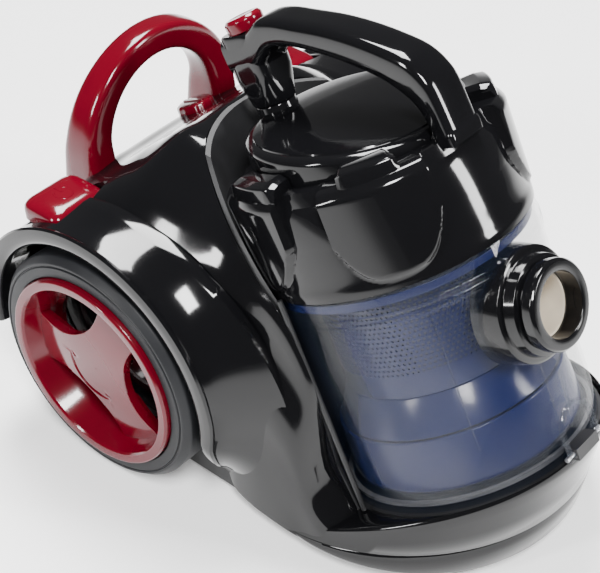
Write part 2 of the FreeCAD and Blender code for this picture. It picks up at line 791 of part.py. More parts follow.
column_y, column_radius = size("column_back"), size("column_radius")
column_foot, lid_rear = size("column_foot"), size("lid_rear")
inner_column = column_radius - 2
column_rise = 22.0
spring_low = column_foot + column_rise + 3.0


def lid_cap():
    """Round lid with a crowned, sloping top and the lower half of the rear column."""
    lid = size("lid_radius")
    crown = size("lid_crown")
    drum = rod(lid, lid_rear - collar_top + 4, (0, 0, collar_top - 4))
    barrel = rod(crown, 2 * FAR, (-FAR, 57.8, lid_rear - 4 - 0.990 * crown), "X")
    cap = common(drum, barrel)
    hollow = rod(lid - wall, 16.0, (0, 0, collar_top - 5))
    lobe = rod(20.0, 16.0, (0, column_y, collar_top + 0.4))
    column = rod(inner_column, column_foot + column_rise - collar_top - 12,
                 (0, column_y, collar_top + 12))
    bore = rod(size("rod_radius") + 0.6, FAR, (0, column_y, collar_top - 10))
    foot_bore = rod(size("rod_radius") + 2.2, 9.0, (0, column_y, collar_top - 2))
    return cut(fuse(cut(fuse(cap, lobe), hollow), column), bore, foot_bore)


bin_node("lid_cap", lid_cap())


def collar_form():
    """Solid outline of the collar, which trims the front foot of the handle."""
    return lathe([(0, cup_top), (top_radius, cup_top),
                  (top_radius - size("shoulder_drop"), shoulder),
                  (size("collar_mouth"), collar_top + 0.1), (0, collar_top + 0.1)])


def handle_outline():
    """Side view of the bin handle as (y, height): outer line from the back, then the inner."""
    outer = [(75, 288), (62, 293), (42, 297), (11, 292), (-11, 286), (-31, 278), (-50, 270),
             (-68, 261), (-76, 255), (-80, 244), (-82, 232), (-83, 206)]
    inner = [(-67, 206), (-66, 222), (-63, 229), (-58, 237), (-48, 247), (-26, 260), (7, 274),
             (21, 277), (35, 279), (46, 276), (47, 240), (75, 240)]
    rise = collar_top - 212
    return [(y, rise + z) for y, z in outer + inner]


def bin_handle():
    half = size("handle_width") / 2
    grip = extrude("YZ_Plane", handle_outline(), size("handle_width"), -half)
    corner = cut(block((-FAR, column_y, column_foot - 1), (FAR, FAR, FAR)),
                 rod(half, FAR, (0, column_y, column_foot - 2)))
    sleeve_bore = rod(inner_column + 0.05, column_rise + 0.5, (0, column_y, column_foot - 0.2))
    rod_bore = rod(size("rod_radius") + 0.6, FAR, (0, column_y, column_foot))
    spring_bore = rod(6.8, FAR, (0, column_y, spring_low))
    return cut(grip, corner, sleeve_bore, rod_bore, spring_bore, button_well(), collar_form())


button_z = 287.0


def button_axis(thing):
    tilt = Rotation(Vector(1, 0, 0), -SIZES["button_tilt"])
    rise = float(collar_top - 212)
    return carry(thing, Placement(Vector(0, SIZES["column_back"], button_z + rise), tilt))


def button_well():
    sideways = size("button_travel") * sine(size("button_tilt"))
    return button_axis(rod(size("button_radius") + sideways + 0.35, 40.0, (0, 0, -5)))


bin_node("bin_handle", bin_handle())
bin_node("release_button", button_axis(rod(size("button_radius"), 9.5, (0, 0, 0))))
rod_top = button_z - 0.5
bin_node("release_rod", fuse(
    rod(size("rod_radius"), rod_top - collar_top - 6, (0, column_y, collar_top + 6)),
    rod(size("rod_radius") + 1.5, 2.0, (0, column_y, collar_top + 4))))


def coil_spring(radius, wire, height, turns):
    """Compression spring: a wire swept round a helix that stands on the base circle."""
    path = Part.makeHelix(height / turns, height, radius)
    ring = Part.makePolygon([Vector(radius + x, 0, z) for x, z in
                             ((-wire, -wire), (wire, -wire), (wire, wire), (-wire, wire),
                              (-wire, -wire))])
    swept = Part.Wire(path.Edges).makePipeShell([ring], True, True)
    spring = doc.addObject("Part::Feature", "Coil")
    spring.Shape = swept
    return spring


button_spring = coil_spring(5.4, 0.6, rod_top - float(spring_low) - 2.6, 5)
inner_place = Placement(Vector(0, SIZES["column_back"], float(spring_low) + 0.7), Rotation())
node("button_spring", button_spring, lean_place().multiply(inner_place))


# ---------------------------------------------------------------- motor

motor_x, motor_z = size("motor_x"), size("motor_z")
chamber_front, chamber_length = size("chamber_front"), size("chamber_length")
chamber_radius = size("chamber_radius")
shroud_radius, stator_radius = size("shroud_radius"), size("stator_radius")
shaft_radius = size("shaft_radius")
intake_radius = 20.0


def on_motor(radius, first, last):
    """Round piece on the motor's axis between two distances from the chamber's front."""
    return rod(radius, last - first, (motor_x, chamber_front + first, motor_z), "Y")


def motor_chamber():
    drum = on_motor(chamber_radius, 0.0, chamber_length)
    inside = on_motor(chamber_radius - 2.5, 2.5, chamber_length + 5)
    foot = block((motor_x - 30, chamber_front + 4, floor_top + 0.2),
                 (motor_x + 30, chamber_front + 12, motor_z - 40))
    feet = [foot, block((motor_x - 30, chamber_front + 78, floor_top + 0.2),
                        (motor_x + 30, chamber_front + 86, motor_z - 40))]
    return cut(fuse(drum, *feet), inside, on_motor(intake_radius, -5.0, 10.0))


node("motor_chamber", motor_chamber())
node("motor_mount_front", cut(on_motor(chamber_radius - 2.6, 2.6, 9.0),
                              on_motor(intake_radius + 6, -5.0, 20.0)))
node("fan_shroud", cut(on_motor(shroud_radius, 9.1, 34.0), on_motor(shroud_radius - 1.5, 10.6, 40.0),
                       on_motor(intake_radius, 0.0, 20.0)))
node("impeller", cut(fuse(on_motor(shroud_radius - 4, 13.0, 14.2),
                          on_motor(shroud_radius - 4, 26.0, 27.2),
                          on_motor(shroud_radius - 22, 13.5, 27.0)),
                     on_motor(shaft_radius, 0.0, 60.0), on_motor(shaft_radius + 9, 0.0, 18.0)))
stator = cut(fuse(on_motor(shroud_radius, 34.1, 37.0), on_motor(stator_radius, 36.5, 78.0)),
             on_motor(stator_radius - 9, 38.5, 75.0),
             on_motor(shaft_radius + run_gap, 0.0, chamber_length + 5))
node("motor_frame", stator)
node("armature", cut(fuse(on_motor(stator_radius - 10, 42.0, 62.0), on_motor(12.0, 64.0, 73.0)),
                     on_motor(shaft_radius, 0.0, chamber_length)))
node("motor_shaft", on_motor(shaft_radius, 12.0, 84.0))
brush_y = chamber_front + 68.5
node("carbon_brushes", fuse(*[
    block((motor_x + start, brush_y - 3, motor_z - 4), (motor_x + start + 11, brush_y + 3,
                                                        motor_z + 4))
    for start in (-23.5, 12.5)]))
node("motor_mount_rear", cut(on_motor(stator_radius + 3, 78.1, 88.0),
                             on_motor(shaft_radius + 6, 70.0, 100.0)))

filter_radius = 33.0
node("filter_frame", cut(on_motor(filter_radius + 2.5, -14.0, -0.2),
                         on_motor(filter_radius, -11.5, 5.0), on_motor(filter_radius - 6, -20.0, 5.0)))
node("motor_filter", on_motor(filter_radius - 0.2, -11.3, -0.5))


# ---------------------------------------------------------------- exhaust and cord outlet

def exhaust_grille():
    low = grille_low
    high = grille_high
    plate = block(low, high)
    slots = []
    count = 6
    for index in range(count):
        base = low[2] + 5.0 + index * 6.2
        slots.append(block((low[0] + 4, low[1] - 5, base), (high[0] - 4, high[1] + 5, base + 3.0)))
    return cut(plate, *slots)


node("exhaust_grille", exhaust_grille())
node("exhaust_filter", block((grille_low[0] + 1, grille_low[1] - 10.3, grille_low[2] + 1),
                             (grille_high[0] - 1, grille_low[1] - 0.3, grille_high[2] - 1)))
node("cord_outlet", fuse(
    tube(8.95, size("outlet_bore"), 10.0, outlet_at, "Y"),
    tube(11.5, size("outlet_bore"), 2.5, (outlet_at[0], outlet_at[1] + 1.5, outlet_at[2]),
         "Y")))


# ---------------------------------------------------------------- cord reel

reel_x, reel_y, reel_z = size("reel_x"), size("reel_y"), size("reel_z")
reel_radius, reel_half = size("reel_radius"), size("reel_half")
flange = 2.0


def on_reel(radius, first, last):
    """Round piece on the reel's axis between two distances from the reel's middle."""
    return rod(radius, last - first, (reel_x + first, reel_y, reel_z), "X")


bracket_x = reel_half + 8.4
lever_y, lever_z, lever_shaft = reel_y + 4, reel_z + 60, 4.0

node("reel_drum", cut(fuse(on_reel(size("reel_core"), -reel_half, reel_half),
                           on_reel(reel_radius, -reel_half, -reel_half + flange),
                           on_reel(reel_radius, reel_half - flange, reel_half)),
                      on_reel(size("reel_axle") + run_gap, -FAR, FAR),
                      on_reel(size("reel_core") - 3, reel_half - 9, reel_half + 5)))
node("reel_axle", fuse(on_reel(size("reel_axle"), -reel_half - 2, bracket_x + 2.6),
                       on_reel(size("reel_axle") + 3, -reel_half - 4, -reel_half - 2)))
bracket_at = reel_x + bracket_x
bracket_plate = block((bracket_at, reel_y - 40, floor_top + 0.2),
                      (bracket_at + 2.6, reel_y + 24, reel_z + 68))
bracket_foot = block((bracket_at, reel_y - 40, floor_top + 0.2),
                     (bracket_at + 18, reel_y + 24, floor_top + 2.8))
node("reel_bracket", cut(fuse(bracket_plate, bracket_foot),
                         on_reel(size("reel_axle"), 0.0, FAR),
                         rod(lever_shaft + run_gap, FAR, (reel_x, lever_y, lever_z), "X")))


def spiral_spring():
    """Flat clock spring that rewinds the cord: a strip coiled outwards at an even pitch."""
    turns, strip, inner_r, outer_r, steps = 5, 0.8, 8.0, 22.0, 24
    total = turns * steps
    edge_in, edge_out = [], []
    for index in range(total + 1):
        angle = 2 * math.pi * index / steps
        reach = inner_r + (outer_r - inner_r) * index / total
        edge_in.append(Vector(0, reach * math.cos(angle), reach * math.sin(angle)))
        edge_out.append(Vector(0, (reach + strip) * math.cos(angle),
                               (reach + strip) * math.sin(angle)))
    wire = Part.makePolygon(edge_in + edge_out[::-1] + edge_in[:1])
    spring = doc.addObject("Part::Feature", "Spiral")
    spring.Shape = Part.Face(wire).extrude(Vector(6.0, 0, 0))
    return spring


node("reel_spring", put(spiral_spring(), (reel_x + reel_half - 7, reel_y, reel_z)))

roller_radius = 8.0
roller_y = lever_y - 28
roller_rise = math.sqrt((float(reel_radius) + roller_radius + 0.4) ** 2
                        - (float(reel_y) - float(roller_y)) ** 2)
roller_z = reel_z + roller_rise
stem_end = size("pedal_top") - 34.0


def link(x_low, x_high, start, end, thick):
    """Flat bar between two points of a plane square to X."""
    reach = math.hypot(float(end[0] - start[0]), float(end[1] - start[1]))
    angle = math.degrees(math.atan2(float(end[1] - start[1]), float(end[0] - start[0])))
    bar = doc.addObject("Part::Box", "Link")
    bind(bar, "Length", x_high - x_low)
    bar.Width = reach
    bar.Height = thick
    turn = Rotation(Vector(1, 0, 0), angle)
    offset = turn.multVec(Vector(0, 0, -thick / 2))
    bar.Placement = Placement(Vector(float(x_low), float(start[0]), float(start[1])) + offset,
                              turn)
    return bar


arm_x = reel_x + reel_half + 2.6
heel_y = size("pedal_y")
node("brake_lever", fuse(
    rod(lever_shaft, size("stem_x") + 5 - arm_x, (arm_x, lever_y, lever_z), "X"),
    link(arm_x, arm_x + 4, (lever_y, lever_z), (roller_y, roller_z), 7.0),
    link(size("stem_x") - 4, size("stem_x") + 4, (lever_y, lever_z),
         (heel_y + 3, stem_end - 7.2), 7.0),
    rod(2.5, 14.0, (arm_x - 9, roller_y, roller_z), "X")))
node("brake_roller", cut(rod(roller_radius, 8.0, (arm_x - 8.6, roller_y, roller_z), "X"),
                         rod(2.5 + run_gap, 30.0, (arm_x - 20, roller_y, roller_z), "X")))


# ---------------------------------------------------------------- pedals, switch and knob

def pedal(side):
    """Foot pedal with a rounded block and a stem; the stem works the switch or the brake."""
    half, deep = size("pedal_length") / 2, size("pedal_depth") / 2
    low, top = size("pedal_top") - 15, size("pedal_top")
    x, y = side * size("pedal_x"), size("pedal_y")
    bevel = 5.0
    outline = [(x - half, low), (x + half, low), (x + half, top - bevel), (x + half - bevel, top),
               (x - half + bevel, top), (x - half, top - bevel)]
    cap = extrude("XZ_Plane", outline, 2 * deep, -(y + deep))
    stem = rod(4.0, low - stem_end + 1, (side * size("stem_x"), y, stem_end))
    return fuse(cap, stem)


node("pedal_power", pedal(-1))
node("pedal_rewind", pedal(1))
for side, label in ((-1, "power_spring"), (1, "rewind_spring")):
    coil_low = SIZES["pedal_top"] - 28.0
    coil = coil_spring(6.0, 0.7, 10.6, 3)
    node(label, coil, Placement(
        Vector(side * SIZES["stem_x"], SIZES["pedal_y"], coil_low + 1.0), Rotation()))

node("power_switch", block((-(size("stem_x") + 5.5), size("pedal_y") - 8, stem_end - 18),
                           (-(size("stem_x") - 7), size("pedal_y") + 8,
                            stem_end - size("pedal_travel") - 0.3)))

node("regulator_knob", on_roof(fuse(rod(size("knob_radius"), 7.0, (0, 0, 0.8)),
                                    rod(3.2, 11.0, (0, 0, -9)))))
node("control_board", on_roof(fuse(block((-25, -14, -16), (25, 14, -14.4)),
                                   block((-7, -7, -14.5), (7, 7, -9.4)))))


# ---------------------------------------------------------------- rear carry handle

def carry_handle():
    """Arch with two legs; it stands on the housing's rear slope."""
    inner, outer = size("arch_inner"), size("arch_outer")
    depth, z = size("arch_depth"), size("arch_z")
    start = size("arch_y") - depth / 2
    ring = tube(outer, inner, depth, (0, start, z), "Y")
    ring = common(ring, block((-FAR, -FAR, z), (FAR, FAR, FAR)))
    legs = []
    for side in (-1, 1):
        low_x, high_x = (inner, outer) if side > 0 else (-outer, -inner)
        legs.append(block((low_x, start, z - 46), (high_x, start + depth, z)))
    arch = fuse(ring, *legs)
    return cut(arch, hump_form(0.0))


node("carry_handle", carry_handle())


# ---------------------------------------------------------------- front caster

caster_y = size("caster_y")
caster_r, trail = size("caster_radius"), size("caster_trail")
pin = 2.0
fork_top = well_top - wall - 0.6


def caster_fork():
    wheel_y = caster_y + trail
    disc = rod(size("well_radius") - 4, 2.5, (0, caster_y, fork_top - 2.5))
    stem = rod(size("caster_stem"), 15.0, (0, caster_y, fork_top - 1))
    cheeks = []
    for low, high in ((-10.5, -8.0), (8.0, 10.5)):
        cheeks.append(block((low, wheel_y - 5, caster_r - 4), (high, wheel_y + 5, fork_top - 1)))
    return cut(fuse(disc, stem, *cheeks), rod(pin, 40, (-20, wheel_y, caster_r), "X"))


node("caster_fork", caster_fork())
node("caster_wheel", cut(rod(caster_r, 14.0, (-7, caster_y + trail, caster_r), "X"),
                         rod(pin + run_gap, 40, (-20, caster_y + trail, caster_r), "X")))
node("caster_pin", rod(pin, 21.0, (-10.5, caster_y + trail, caster_r), "X"))


# ---------------------------------------------------------------- check and write

doc.recompute()
faults = []
for thing in doc.Objects:
    if "Invalid" in thing.State or "Error" in thing.State:
        faults.append(f"{thing.Name} ({thing.Label}): {thing.State}")
for label, thing in NODES.items():
    shape = thing.Shape
    if shape.isNull() or not shape.isValid() or not shape.Solids:
        faults.append(f"{label}: shape is not a valid solid")
if faults:
    raise RuntimeError("; ".join(faults))

for label, thing in NODES.items():
    thing.Shape.exportStep(os.path.join(OUT, label + ".step"))
    box = thing.Shape.BoundBox
    print(f"{label:20s} solids {len(thing.Shape.Solids)} volume {thing.Shape.Volume:10.0f}  "
          f"x {box.XMin:7.1f} {box.XMax:7.1f}  y {box.YMin:7.1f} {box.YMax:7.1f}  "
          f"z {box.ZMin:7.1f} {box.ZMax:7.1f}")
print(len(NODES), "nodes")
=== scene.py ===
import json
import math

import bmesh
import bpy
from mathutils import Matrix, Vector


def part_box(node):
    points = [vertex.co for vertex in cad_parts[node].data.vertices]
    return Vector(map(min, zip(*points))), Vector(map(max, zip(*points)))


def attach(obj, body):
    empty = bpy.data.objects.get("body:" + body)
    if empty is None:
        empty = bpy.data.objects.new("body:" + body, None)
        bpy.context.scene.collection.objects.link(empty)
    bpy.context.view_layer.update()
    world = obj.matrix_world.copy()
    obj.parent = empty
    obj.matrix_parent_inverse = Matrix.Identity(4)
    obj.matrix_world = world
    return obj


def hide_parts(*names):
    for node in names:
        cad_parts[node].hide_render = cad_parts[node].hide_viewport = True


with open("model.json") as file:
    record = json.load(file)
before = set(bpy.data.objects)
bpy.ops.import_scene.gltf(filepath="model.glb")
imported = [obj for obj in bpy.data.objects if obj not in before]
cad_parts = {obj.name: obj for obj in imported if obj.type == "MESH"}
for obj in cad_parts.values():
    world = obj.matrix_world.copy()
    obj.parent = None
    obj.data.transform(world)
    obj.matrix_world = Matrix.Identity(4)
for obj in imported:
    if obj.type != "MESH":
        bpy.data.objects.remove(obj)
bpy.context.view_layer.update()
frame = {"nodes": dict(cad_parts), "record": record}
record = frame["record"]
MM = 0.001


# ---------------------------------------------------------------- shader maths

class Value:
    """A shader socket that takes part in arithmetic by adding Math nodes."""

    def __init__(self, finish, socket):
        self.finish = finish
        self.socket = socket

    def maths(self, operation, other=None, first=None):
        inputs = [self, other] if first is None else [first, self]
        return self.finish.node("ShaderNodeMath", {"operation": operation},
                                dict(enumerate(value for value in inputs if value is not None)))

    def __add__(self, other):
        return self.maths("ADD", other)

    def __radd__(self, other):
        return self.maths("ADD", first=other)

    def __mul__(self, other):
        return self.maths("MULTIPLY", other)

    def __rmul__(self, other):
        return self.maths("MULTIPLY", first=other)


class Finish:
    """One material: a Principled shader and the nodes that vary it."""

    def __init__(self, name, **constants):
        self.material = bpy.data.materials.new(name)
        self.material.use_nodes = True
        self.tree = self.material.node_tree
        self.shader = self.tree.nodes["Principled BSDF"]
        for socket, value in constants.items():
            self.shader.inputs[socket.replace("_", " ")].default_value = value

    def node(self, kind, settings=None, inputs=None, output=0):
        made = self.tree.nodes.new(kind)
        for name, value in (settings or {}).items():
            if name == "stops":
                self.set_stops(made.color_ramp, value)
            else:
                setattr(made, name, value)
        for key, value in (inputs or {}).items():
            if isinstance(value, Value):
                self.tree.links.new(value.socket, made.inputs[key])
            else:
                made.inputs[key].default_value = value
        return Value(self, made.outputs[output])

    @staticmethod
    def set_stops(ramp, stops):
        while len(ramp.elements) < len(stops):
            ramp.elements.new(0.5)
        for element, (position, colour) in zip(ramp.elements, stops):
            element.position = position
            element.color = colour

    def feed(self, socket, value):
        self.tree.links.new(value.socket, self.shader.inputs[socket])
        return self

    def place(self):
        return self.node("ShaderNodeTexCoord", output="Object")

    def noise(self, scale, detail=3.0, roughness=0.5, stretch=None):
        where = self.place()
        if stretch:
            where = self.node("ShaderNodeVectorMath", {"operation": "MULTIPLY"},
                              {0: where, 1: stretch})
        return self.node("ShaderNodeTexNoise", None, {
            "Vector": where, "Scale": scale, "Detail": detail, "Roughness": roughness})

    def axes(self):
        """The piece's own X, Y and Z."""
        return [self.node("ShaderNodeSeparateXYZ", None, {0: self.place()}, output=axis)
                for axis in range(3)]

    def tint(self, dark, light, factor):
        return self.node("ShaderNodeValToRGB", {"stops": [(0.3, dark), (0.7, light)]},
                         {0: factor})

    def bump(self, height, distance, strength=1.0):
        value = self.node("ShaderNodeBump", None, {
            "Height": height, "Distance": distance, "Strength": strength})
        return self.feed("Normal", value)


def shade(colour, factor):
    return tuple(min(1.0, channel * factor) for channel in colour[:3]) + (1.0,)


def polished(name, colour, roughness=0.07, coat=0.6):
    """Moulded gloss plastic: faint colour drift, handling haze and a slight orange peel."""
    finish = Finish(name, IOR=1.34, Coat_Weight=coat, Coat_Roughness=0.03, Coat_IOR=1.4)
    drift = finish.noise(14.0)
    finish.feed("Base Color", finish.tint(shade(colour, 0.88), shade(colour, 1.12), drift))
    haze = finish.noise(55.0, detail=5.0, roughness=0.7)
    finish.feed("Roughness", haze * 0.07 + (roughness - 0.02))
    return finish.bump(finish.noise(260.0, detail=1.0), 0.00001, 0.2).material


def moulded(name, colour, roughness=0.5, grain=900.0):
    """Spark-eroded matte plastic."""
    finish = Finish(name, IOR=1.48)
    finish.feed("Base Color", finish.tint(shade(colour, 0.8), shade(colour, 1.25),
                                          finish.noise(30.0)))
    finish.feed("Roughness", finish.noise(80.0) * 0.2 + (roughness - 0.1))
    return finish.bump(finish.noise(grain, detail=2.0), 0.00012, 0.5).material


def tread_rubber(name, colour):
    """Soft tyre compound, slightly dusty."""
    finish = Finish(name, IOR=1.3)
    dust = finish.noise(24.0, detail=6.0, roughness=0.65)
    finish.feed("Base Color", finish.tint(shade(colour, 0.75), shade(colour, 1.35), dust))
    finish.feed("Roughness", dust * 0.25 + 0.36)
    return finish.bump(finish.noise(1300.0, detail=2.0), 0.0001, 0.35).material


def clear_plastic(name, colour, body=0.11):
    """Clear styrene: thin bodied and shiny, with fine flow marks and light scuffs."""
    finish = Finish(name, IOR=1.75, Coat_Weight=0.4, Coat_Roughness=0.02)
    marks = finish.noise(9.0, detail=4.0, stretch=(1.0, 1.0, 0.3))
    finish.feed("Base Color", finish.tint(shade(colour, 0.9), shade(colour, 1.1), marks))
    finish.feed("Alpha", marks * 0.06 + body)
    finish.feed("Roughness", finish.noise(40.0, detail=5.0, roughness=0.7) * 0.04 + 0.01)
    return finish.bump(marks, 0.00002, 0.1).material


def metal(name, colour, roughness, stretch=(1.0, 1.0, 30.0)):
    finish = Finish(name, Metallic=1.0)
    lines = finish.noise(160.0, detail=4.0, stretch=stretch)
    finish.feed("Base Color", finish.tint(shade(colour, 0.85), shade(colour, 1.1), lines))
    finish.feed("Roughness", lines * 0.25 + (roughness - 0.1))
    return finish.bump(lines, 0.00006, 0.3).material


def felt(name, colour, scale=700.0):
    finish = Finish(name, Roughness=0.95, Sheen_Weight=0.3)
    fibres = finish.noise(scale, detail=8.0, roughness=0.8)
    finish.feed("Base Color", finish.tint(shade(colour, 0.7), shade(colour, 1.15), fibres))
    return finish.bump(fibres, 0.0006, 0.8).material


def pleated(name, colour):
    """Filter paper folded around the piece's own axis, with painted shade: the colour darkens into
    each fold's valley, and the same folds drive the bump.
    """
    fold_count = 72
    finish = Finish(name, Roughness=0.9)
    x, y, _ = finish.axes()
    fold_height_and_shade = (y.maths("ARCTAN2", x) * (fold_count / math.tau)).maths("PINGPONG", 0.5) * 2.0
    # Painted shade: the colour darkens towards each fold's valley.
    finish.feed("Base Color", finish.tint(shade(colour, 0.55), shade(colour, 1.1), fold_height_and_shade))
    return finish.bump(fold_height_and_shade, 0.002, 0.9).material


def circuit(name, colour):
    finish = Finish(name, IOR=1.5)
    tracks = finish.node("ShaderNodeTexBrick", {"offset": 0.37}, {
        "Vector": finish.place(), "Color1": shade(colour, 0.8), "Color2": shade(colour, 1.2),
        "Mortar": (0.45, 0.32, 0.06, 1.0), "Scale": 160.0, "Mortar Size": 0.03})
    finish.feed("Base Color", tracks)
    return finish.feed("Roughness", finish.noise(200.0) * 0.2 + 0.3).material


BLACK = (0.003, 0.003, 0.0035)
RED = (0.085, 0.0007, 0.006)

FINISHES = {
    "gloss_black": polished("piano_black", BLACK, coat=0.2),
    "gloss_red": polished("ruby_red", RED, roughness=0.12, coat=0.3),
    "clear_tint": clear_plastic("clear_bin", (0.012, 0.018, 0.032)),
    "navy_plastic": polished("navy_plastic", (0.005, 0.009, 0.055), roughness=0.16, coat=0.0),
    "matte_black": moulded("grained_black", (0.010, 0.010, 0.011)),
    "tyre_grey": tread_rubber("tyre_rubber", (0.009, 0.0095, 0.011)),
    "seal_grey": moulded("soft_seal", (0.07, 0.07, 0.075), roughness=0.7),
    "grey_plastic": moulded("inner_grey", (0.26, 0.27, 0.28), roughness=0.45),
    "filter_white": felt("filter_felt", (0.8, 0.8, 0.76)),
    "foam_black": felt("open_foam", (0.03, 0.03, 0.032), scale=420.0),
    "steel": metal("drawn_steel", (0.56, 0.56, 0.58), 0.32),
    "iron_core": metal("core_iron", (0.16, 0.16, 0.17), 0.5, stretch=(1.0, 60.0, 1.0)),
    "alloy": metal("spun_alloy", (0.75, 0.76, 0.78), 0.25),
    "circuit_green": circuit("circuit_board", (0.02, 0.2, 0.08)),
}
PLEATS = pleated("pleated_paper", (0.75, 0.75, 0.70))
# Pale finish painted deep inside the inlet's bore: painted light, standing in for light seen in
# there.
BORE_LIGHT_PAINT = moulded("inlet_painted_light", (0.55, 0.48, 0.38), roughness=0.35)
PRINT = moulded("pale_print", (0.75, 0.75, 0.75), roughness=0.4)


# ---------------------------------------------------------------- frames of reference

def joint(name):
    return [entry for entry in record["behaviour"]["joints"] if entry["name"] == name][0]


def mount(name):
    return [entry for entry in record["mounts"] if entry["name"] == name][0]


def upright(axis):
    """Turn about X that leans Z over to an axis."""
    return Matrix.Rotation(-math.atan2(axis[1], axis[2]), 4, "X")


SIDE_NAMES = {-1: "left", 1: "right"}

# the inlet's mouth from the foot of the bin's axis, in millimetres: up along it and out from it
INLET_HEIGHT = 100.5
INLET_REACH = 107.0
COLUMN_Y = 59.5     # the rear column of the bin's handle, behind the bin's axis
LOOP_Y = -89.0      # the pull loop, in front of it

bin_turn = upright(joint("bin_lift")["axis"])
bin_foot = (Vector(mount("hose_inlet")["pos_m"])
            - bin_turn @ Vector((0, -INLET_REACH * MM, INLET_HEIGHT * MM)))
BIN = Matrix.Translation(bin_foot) @ bin_turn
INLET = BIN @ Matrix.Translation((0, 0, INLET_HEIGHT * MM)) @ Matrix.Rotation(
    math.radians(90), 4, "X")
knob_turn = joint("suction_turn")
KNOB = Matrix.Translation(Vector(knob_turn["pos_m"])) @ upright(knob_turn["axis"])
AXLE = Vector(joint("left_wheel_spin")["pos_m"])
axle_y, axle_z = AXLE.y / MM, AXLE.z / MM


# ---------------------------------------------------------------- mesh helpers

WELD = 1e-6         # metres: points nearer than this are one point


def clean_mesh(name, verts, faces):
    """A mesh from points in millimetres, welded, with its faces turned outwards."""
    mesh = bpy.data.meshes.new(name)
    mesh.from_pydata([Vector(point) * MM for point in verts], [], faces)
    build = bmesh.new()
    build.from_mesh(mesh)
    bmesh.ops.remove_doubles(build, verts=build.verts, dist=WELD)
    bmesh.ops.recalc_face_normals(build, faces=build.faces)
    build.to_mesh(mesh)
    build.free()
    return mesh


def piece(name, verts, faces, body, slot, place=None, finish=None, stands_for=(), sharp=40,
          own_axes=False):
    """A mesh drawn in millimetres, placed, smoothed and given to a body.

    With own_axes the object keeps its placing, so that its finish can follow its axis."""
    mesh = clean_mesh(name, verts, faces)
    if place is not None and not own_axes:
        mesh.transform(place)
    mesh.shade_smooth()
    mesh.set_sharp_from_angle(angle=math.radians(sharp))
    made = bpy.data.objects.new(name, mesh)
    bpy.context.scene.collection.objects.link(made)
    if own_axes:
        made.matrix_world = place
    mesh.materials.append(finish or FINISHES[slot])
    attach(made, body)
    if stands_for:
        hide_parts(*stands_for)
    return made


def sheet_of(rows, loop=False, wrap=False, ends=False):
    """Faces over rows of points; loop closes each row, wrap joins the last row to the first."""
    count, width = len(rows), len(rows[0])
    verts = [point for row in rows for point in row]
    faces = []
    for row in range(count if wrap else count - 1):
        for column in range(width if loop else width - 1):
            here, there = row * width, ((row + 1) % count) * width
            after = (column + 1) % width
            faces.append((here + column, here + after, there + after, there + column))
    if ends:
        faces.append(tuple(range(width)))
        faces.append(tuple(reversed(range((count - 1) * width, count * width))))
    return verts, faces


def joined(shapes):
    """Several pairs of points and faces as one."""
    verts, faces = [], []
    for more, patches in shapes:
        faces += [tuple(corner + len(verts) for corner in patch) for patch in patches]
        verts += more
    return verts, faces


def moved(verts, across, along):
    return [(x + across, y + along, z) for x, y, z in verts]


def circle(radius, steps):
    return [(radius * math.cos(math.tau * step / steps), radius * math.sin(math.tau * step / steps))
            for step in range(steps)]


def rounded(points, steps=4):
    """Corners (x, y, radius) turned into a closed line with arcs in its corners."""
    line = []
    count = len(points)
    for index, (x, y, radius) in enumerate(points):
        here = Vector((x, y))
        before = Vector(points[index - 1][:2]) - here
        after = Vector(points[(index + 1) % count][:2]) - here
        if radius <= 0 or before.length < 1e-6 or after.length < 1e-6:
            line.append((x, y))
            continue
        half = before.angle(after) / 2
        reach = min(radius / math.tan(max(half, 0.05)), before.length * 0.49,
                    after.length * 0.49)
        start = here + before.normalized() * reach
        end = here + after.normalized() * reach
        for step in range(steps + 1):
            t = step / steps
            line.append(tuple(start.lerp(here, t).lerp(here.lerp(end, t), t)))
    return line


def lathe(profile, steps=128, round_steps=4):
    """Closed profile of (radius, height, corner radius) turned about Z."""
    line = rounded(profile, round_steps)
    rows = []
    for index in range(steps):
        angle = math.tau * index / steps
        rows.append([(r * math.cos(angle), r * math.sin(angle), z) for r, z in line])
    return sheet_of(rows, loop=True, wrap=True)


def smooth_line(points, steps=8, closed=False):
    """A Catmull-Rom line through points of any dimension."""
    points = [Vector(point) for point in points]
    count = len(points)
    line = []
    for index in range(count if closed else count - 1):
        if closed:
            a, b, c, d = (points[(index + shift) % count] for shift in (-1, 0, 1, 2))
        else:
            b, c = points[index], points[index + 1]
            a = points[index - 1] if index else b * 2 - c
            d = points[index + 2] if index + 2 < count else c * 2 - b
        for step in range(steps):
            t = step / steps
            line.append(0.5 * (2 * b + (c - a) * t + (2 * a - 5 * b + 4 * c - d) * t * t
                               + (3 * b - 3 * c + d - a) * t ** 3))
    if not closed:
        line.append(points[-1])
    return line


def follow(table, where):
    """Reads a table of (position, values...) with flat-ended cubic steps between its rows."""
    keys = [row[0] for row in table]
    where = min(max(where, keys[0]), keys[-1])
    index = max(i for i in range(len(keys) - 1) if keys[i] <= where or i == 0)
    span = keys[index + 1] - keys[index]
    t = (where - keys[index]) / span
    result = []
    for column in range(1, len(table[0])):
        slopes = [(table[i + 1][column] - table[i][column]) / (keys[i + 1] - keys[i])
                  for i in range(len(keys) - 1)]

        def tangent(i):
            if i == 0:
                return slopes[0]
            if i == len(keys) - 1:
                return slopes[-1]
            low, high = slopes[i - 1], slopes[i]
            return 0.0 if low * high <= 0 else 2 * low * high / (low + high)

        p, q = table[index][column], table[index + 1][column]
        m, n = tangent(index) * span, tangent(index + 1) * span
        result.append((2 * t ** 3 - 3 * t ** 2 + 1) * p + (t ** 3 - 2 * t ** 2 + t) * m
                      + (3 * t ** 2 - 2 * t ** 3) * q + (t ** 3 - t ** 2) * n)
    return result


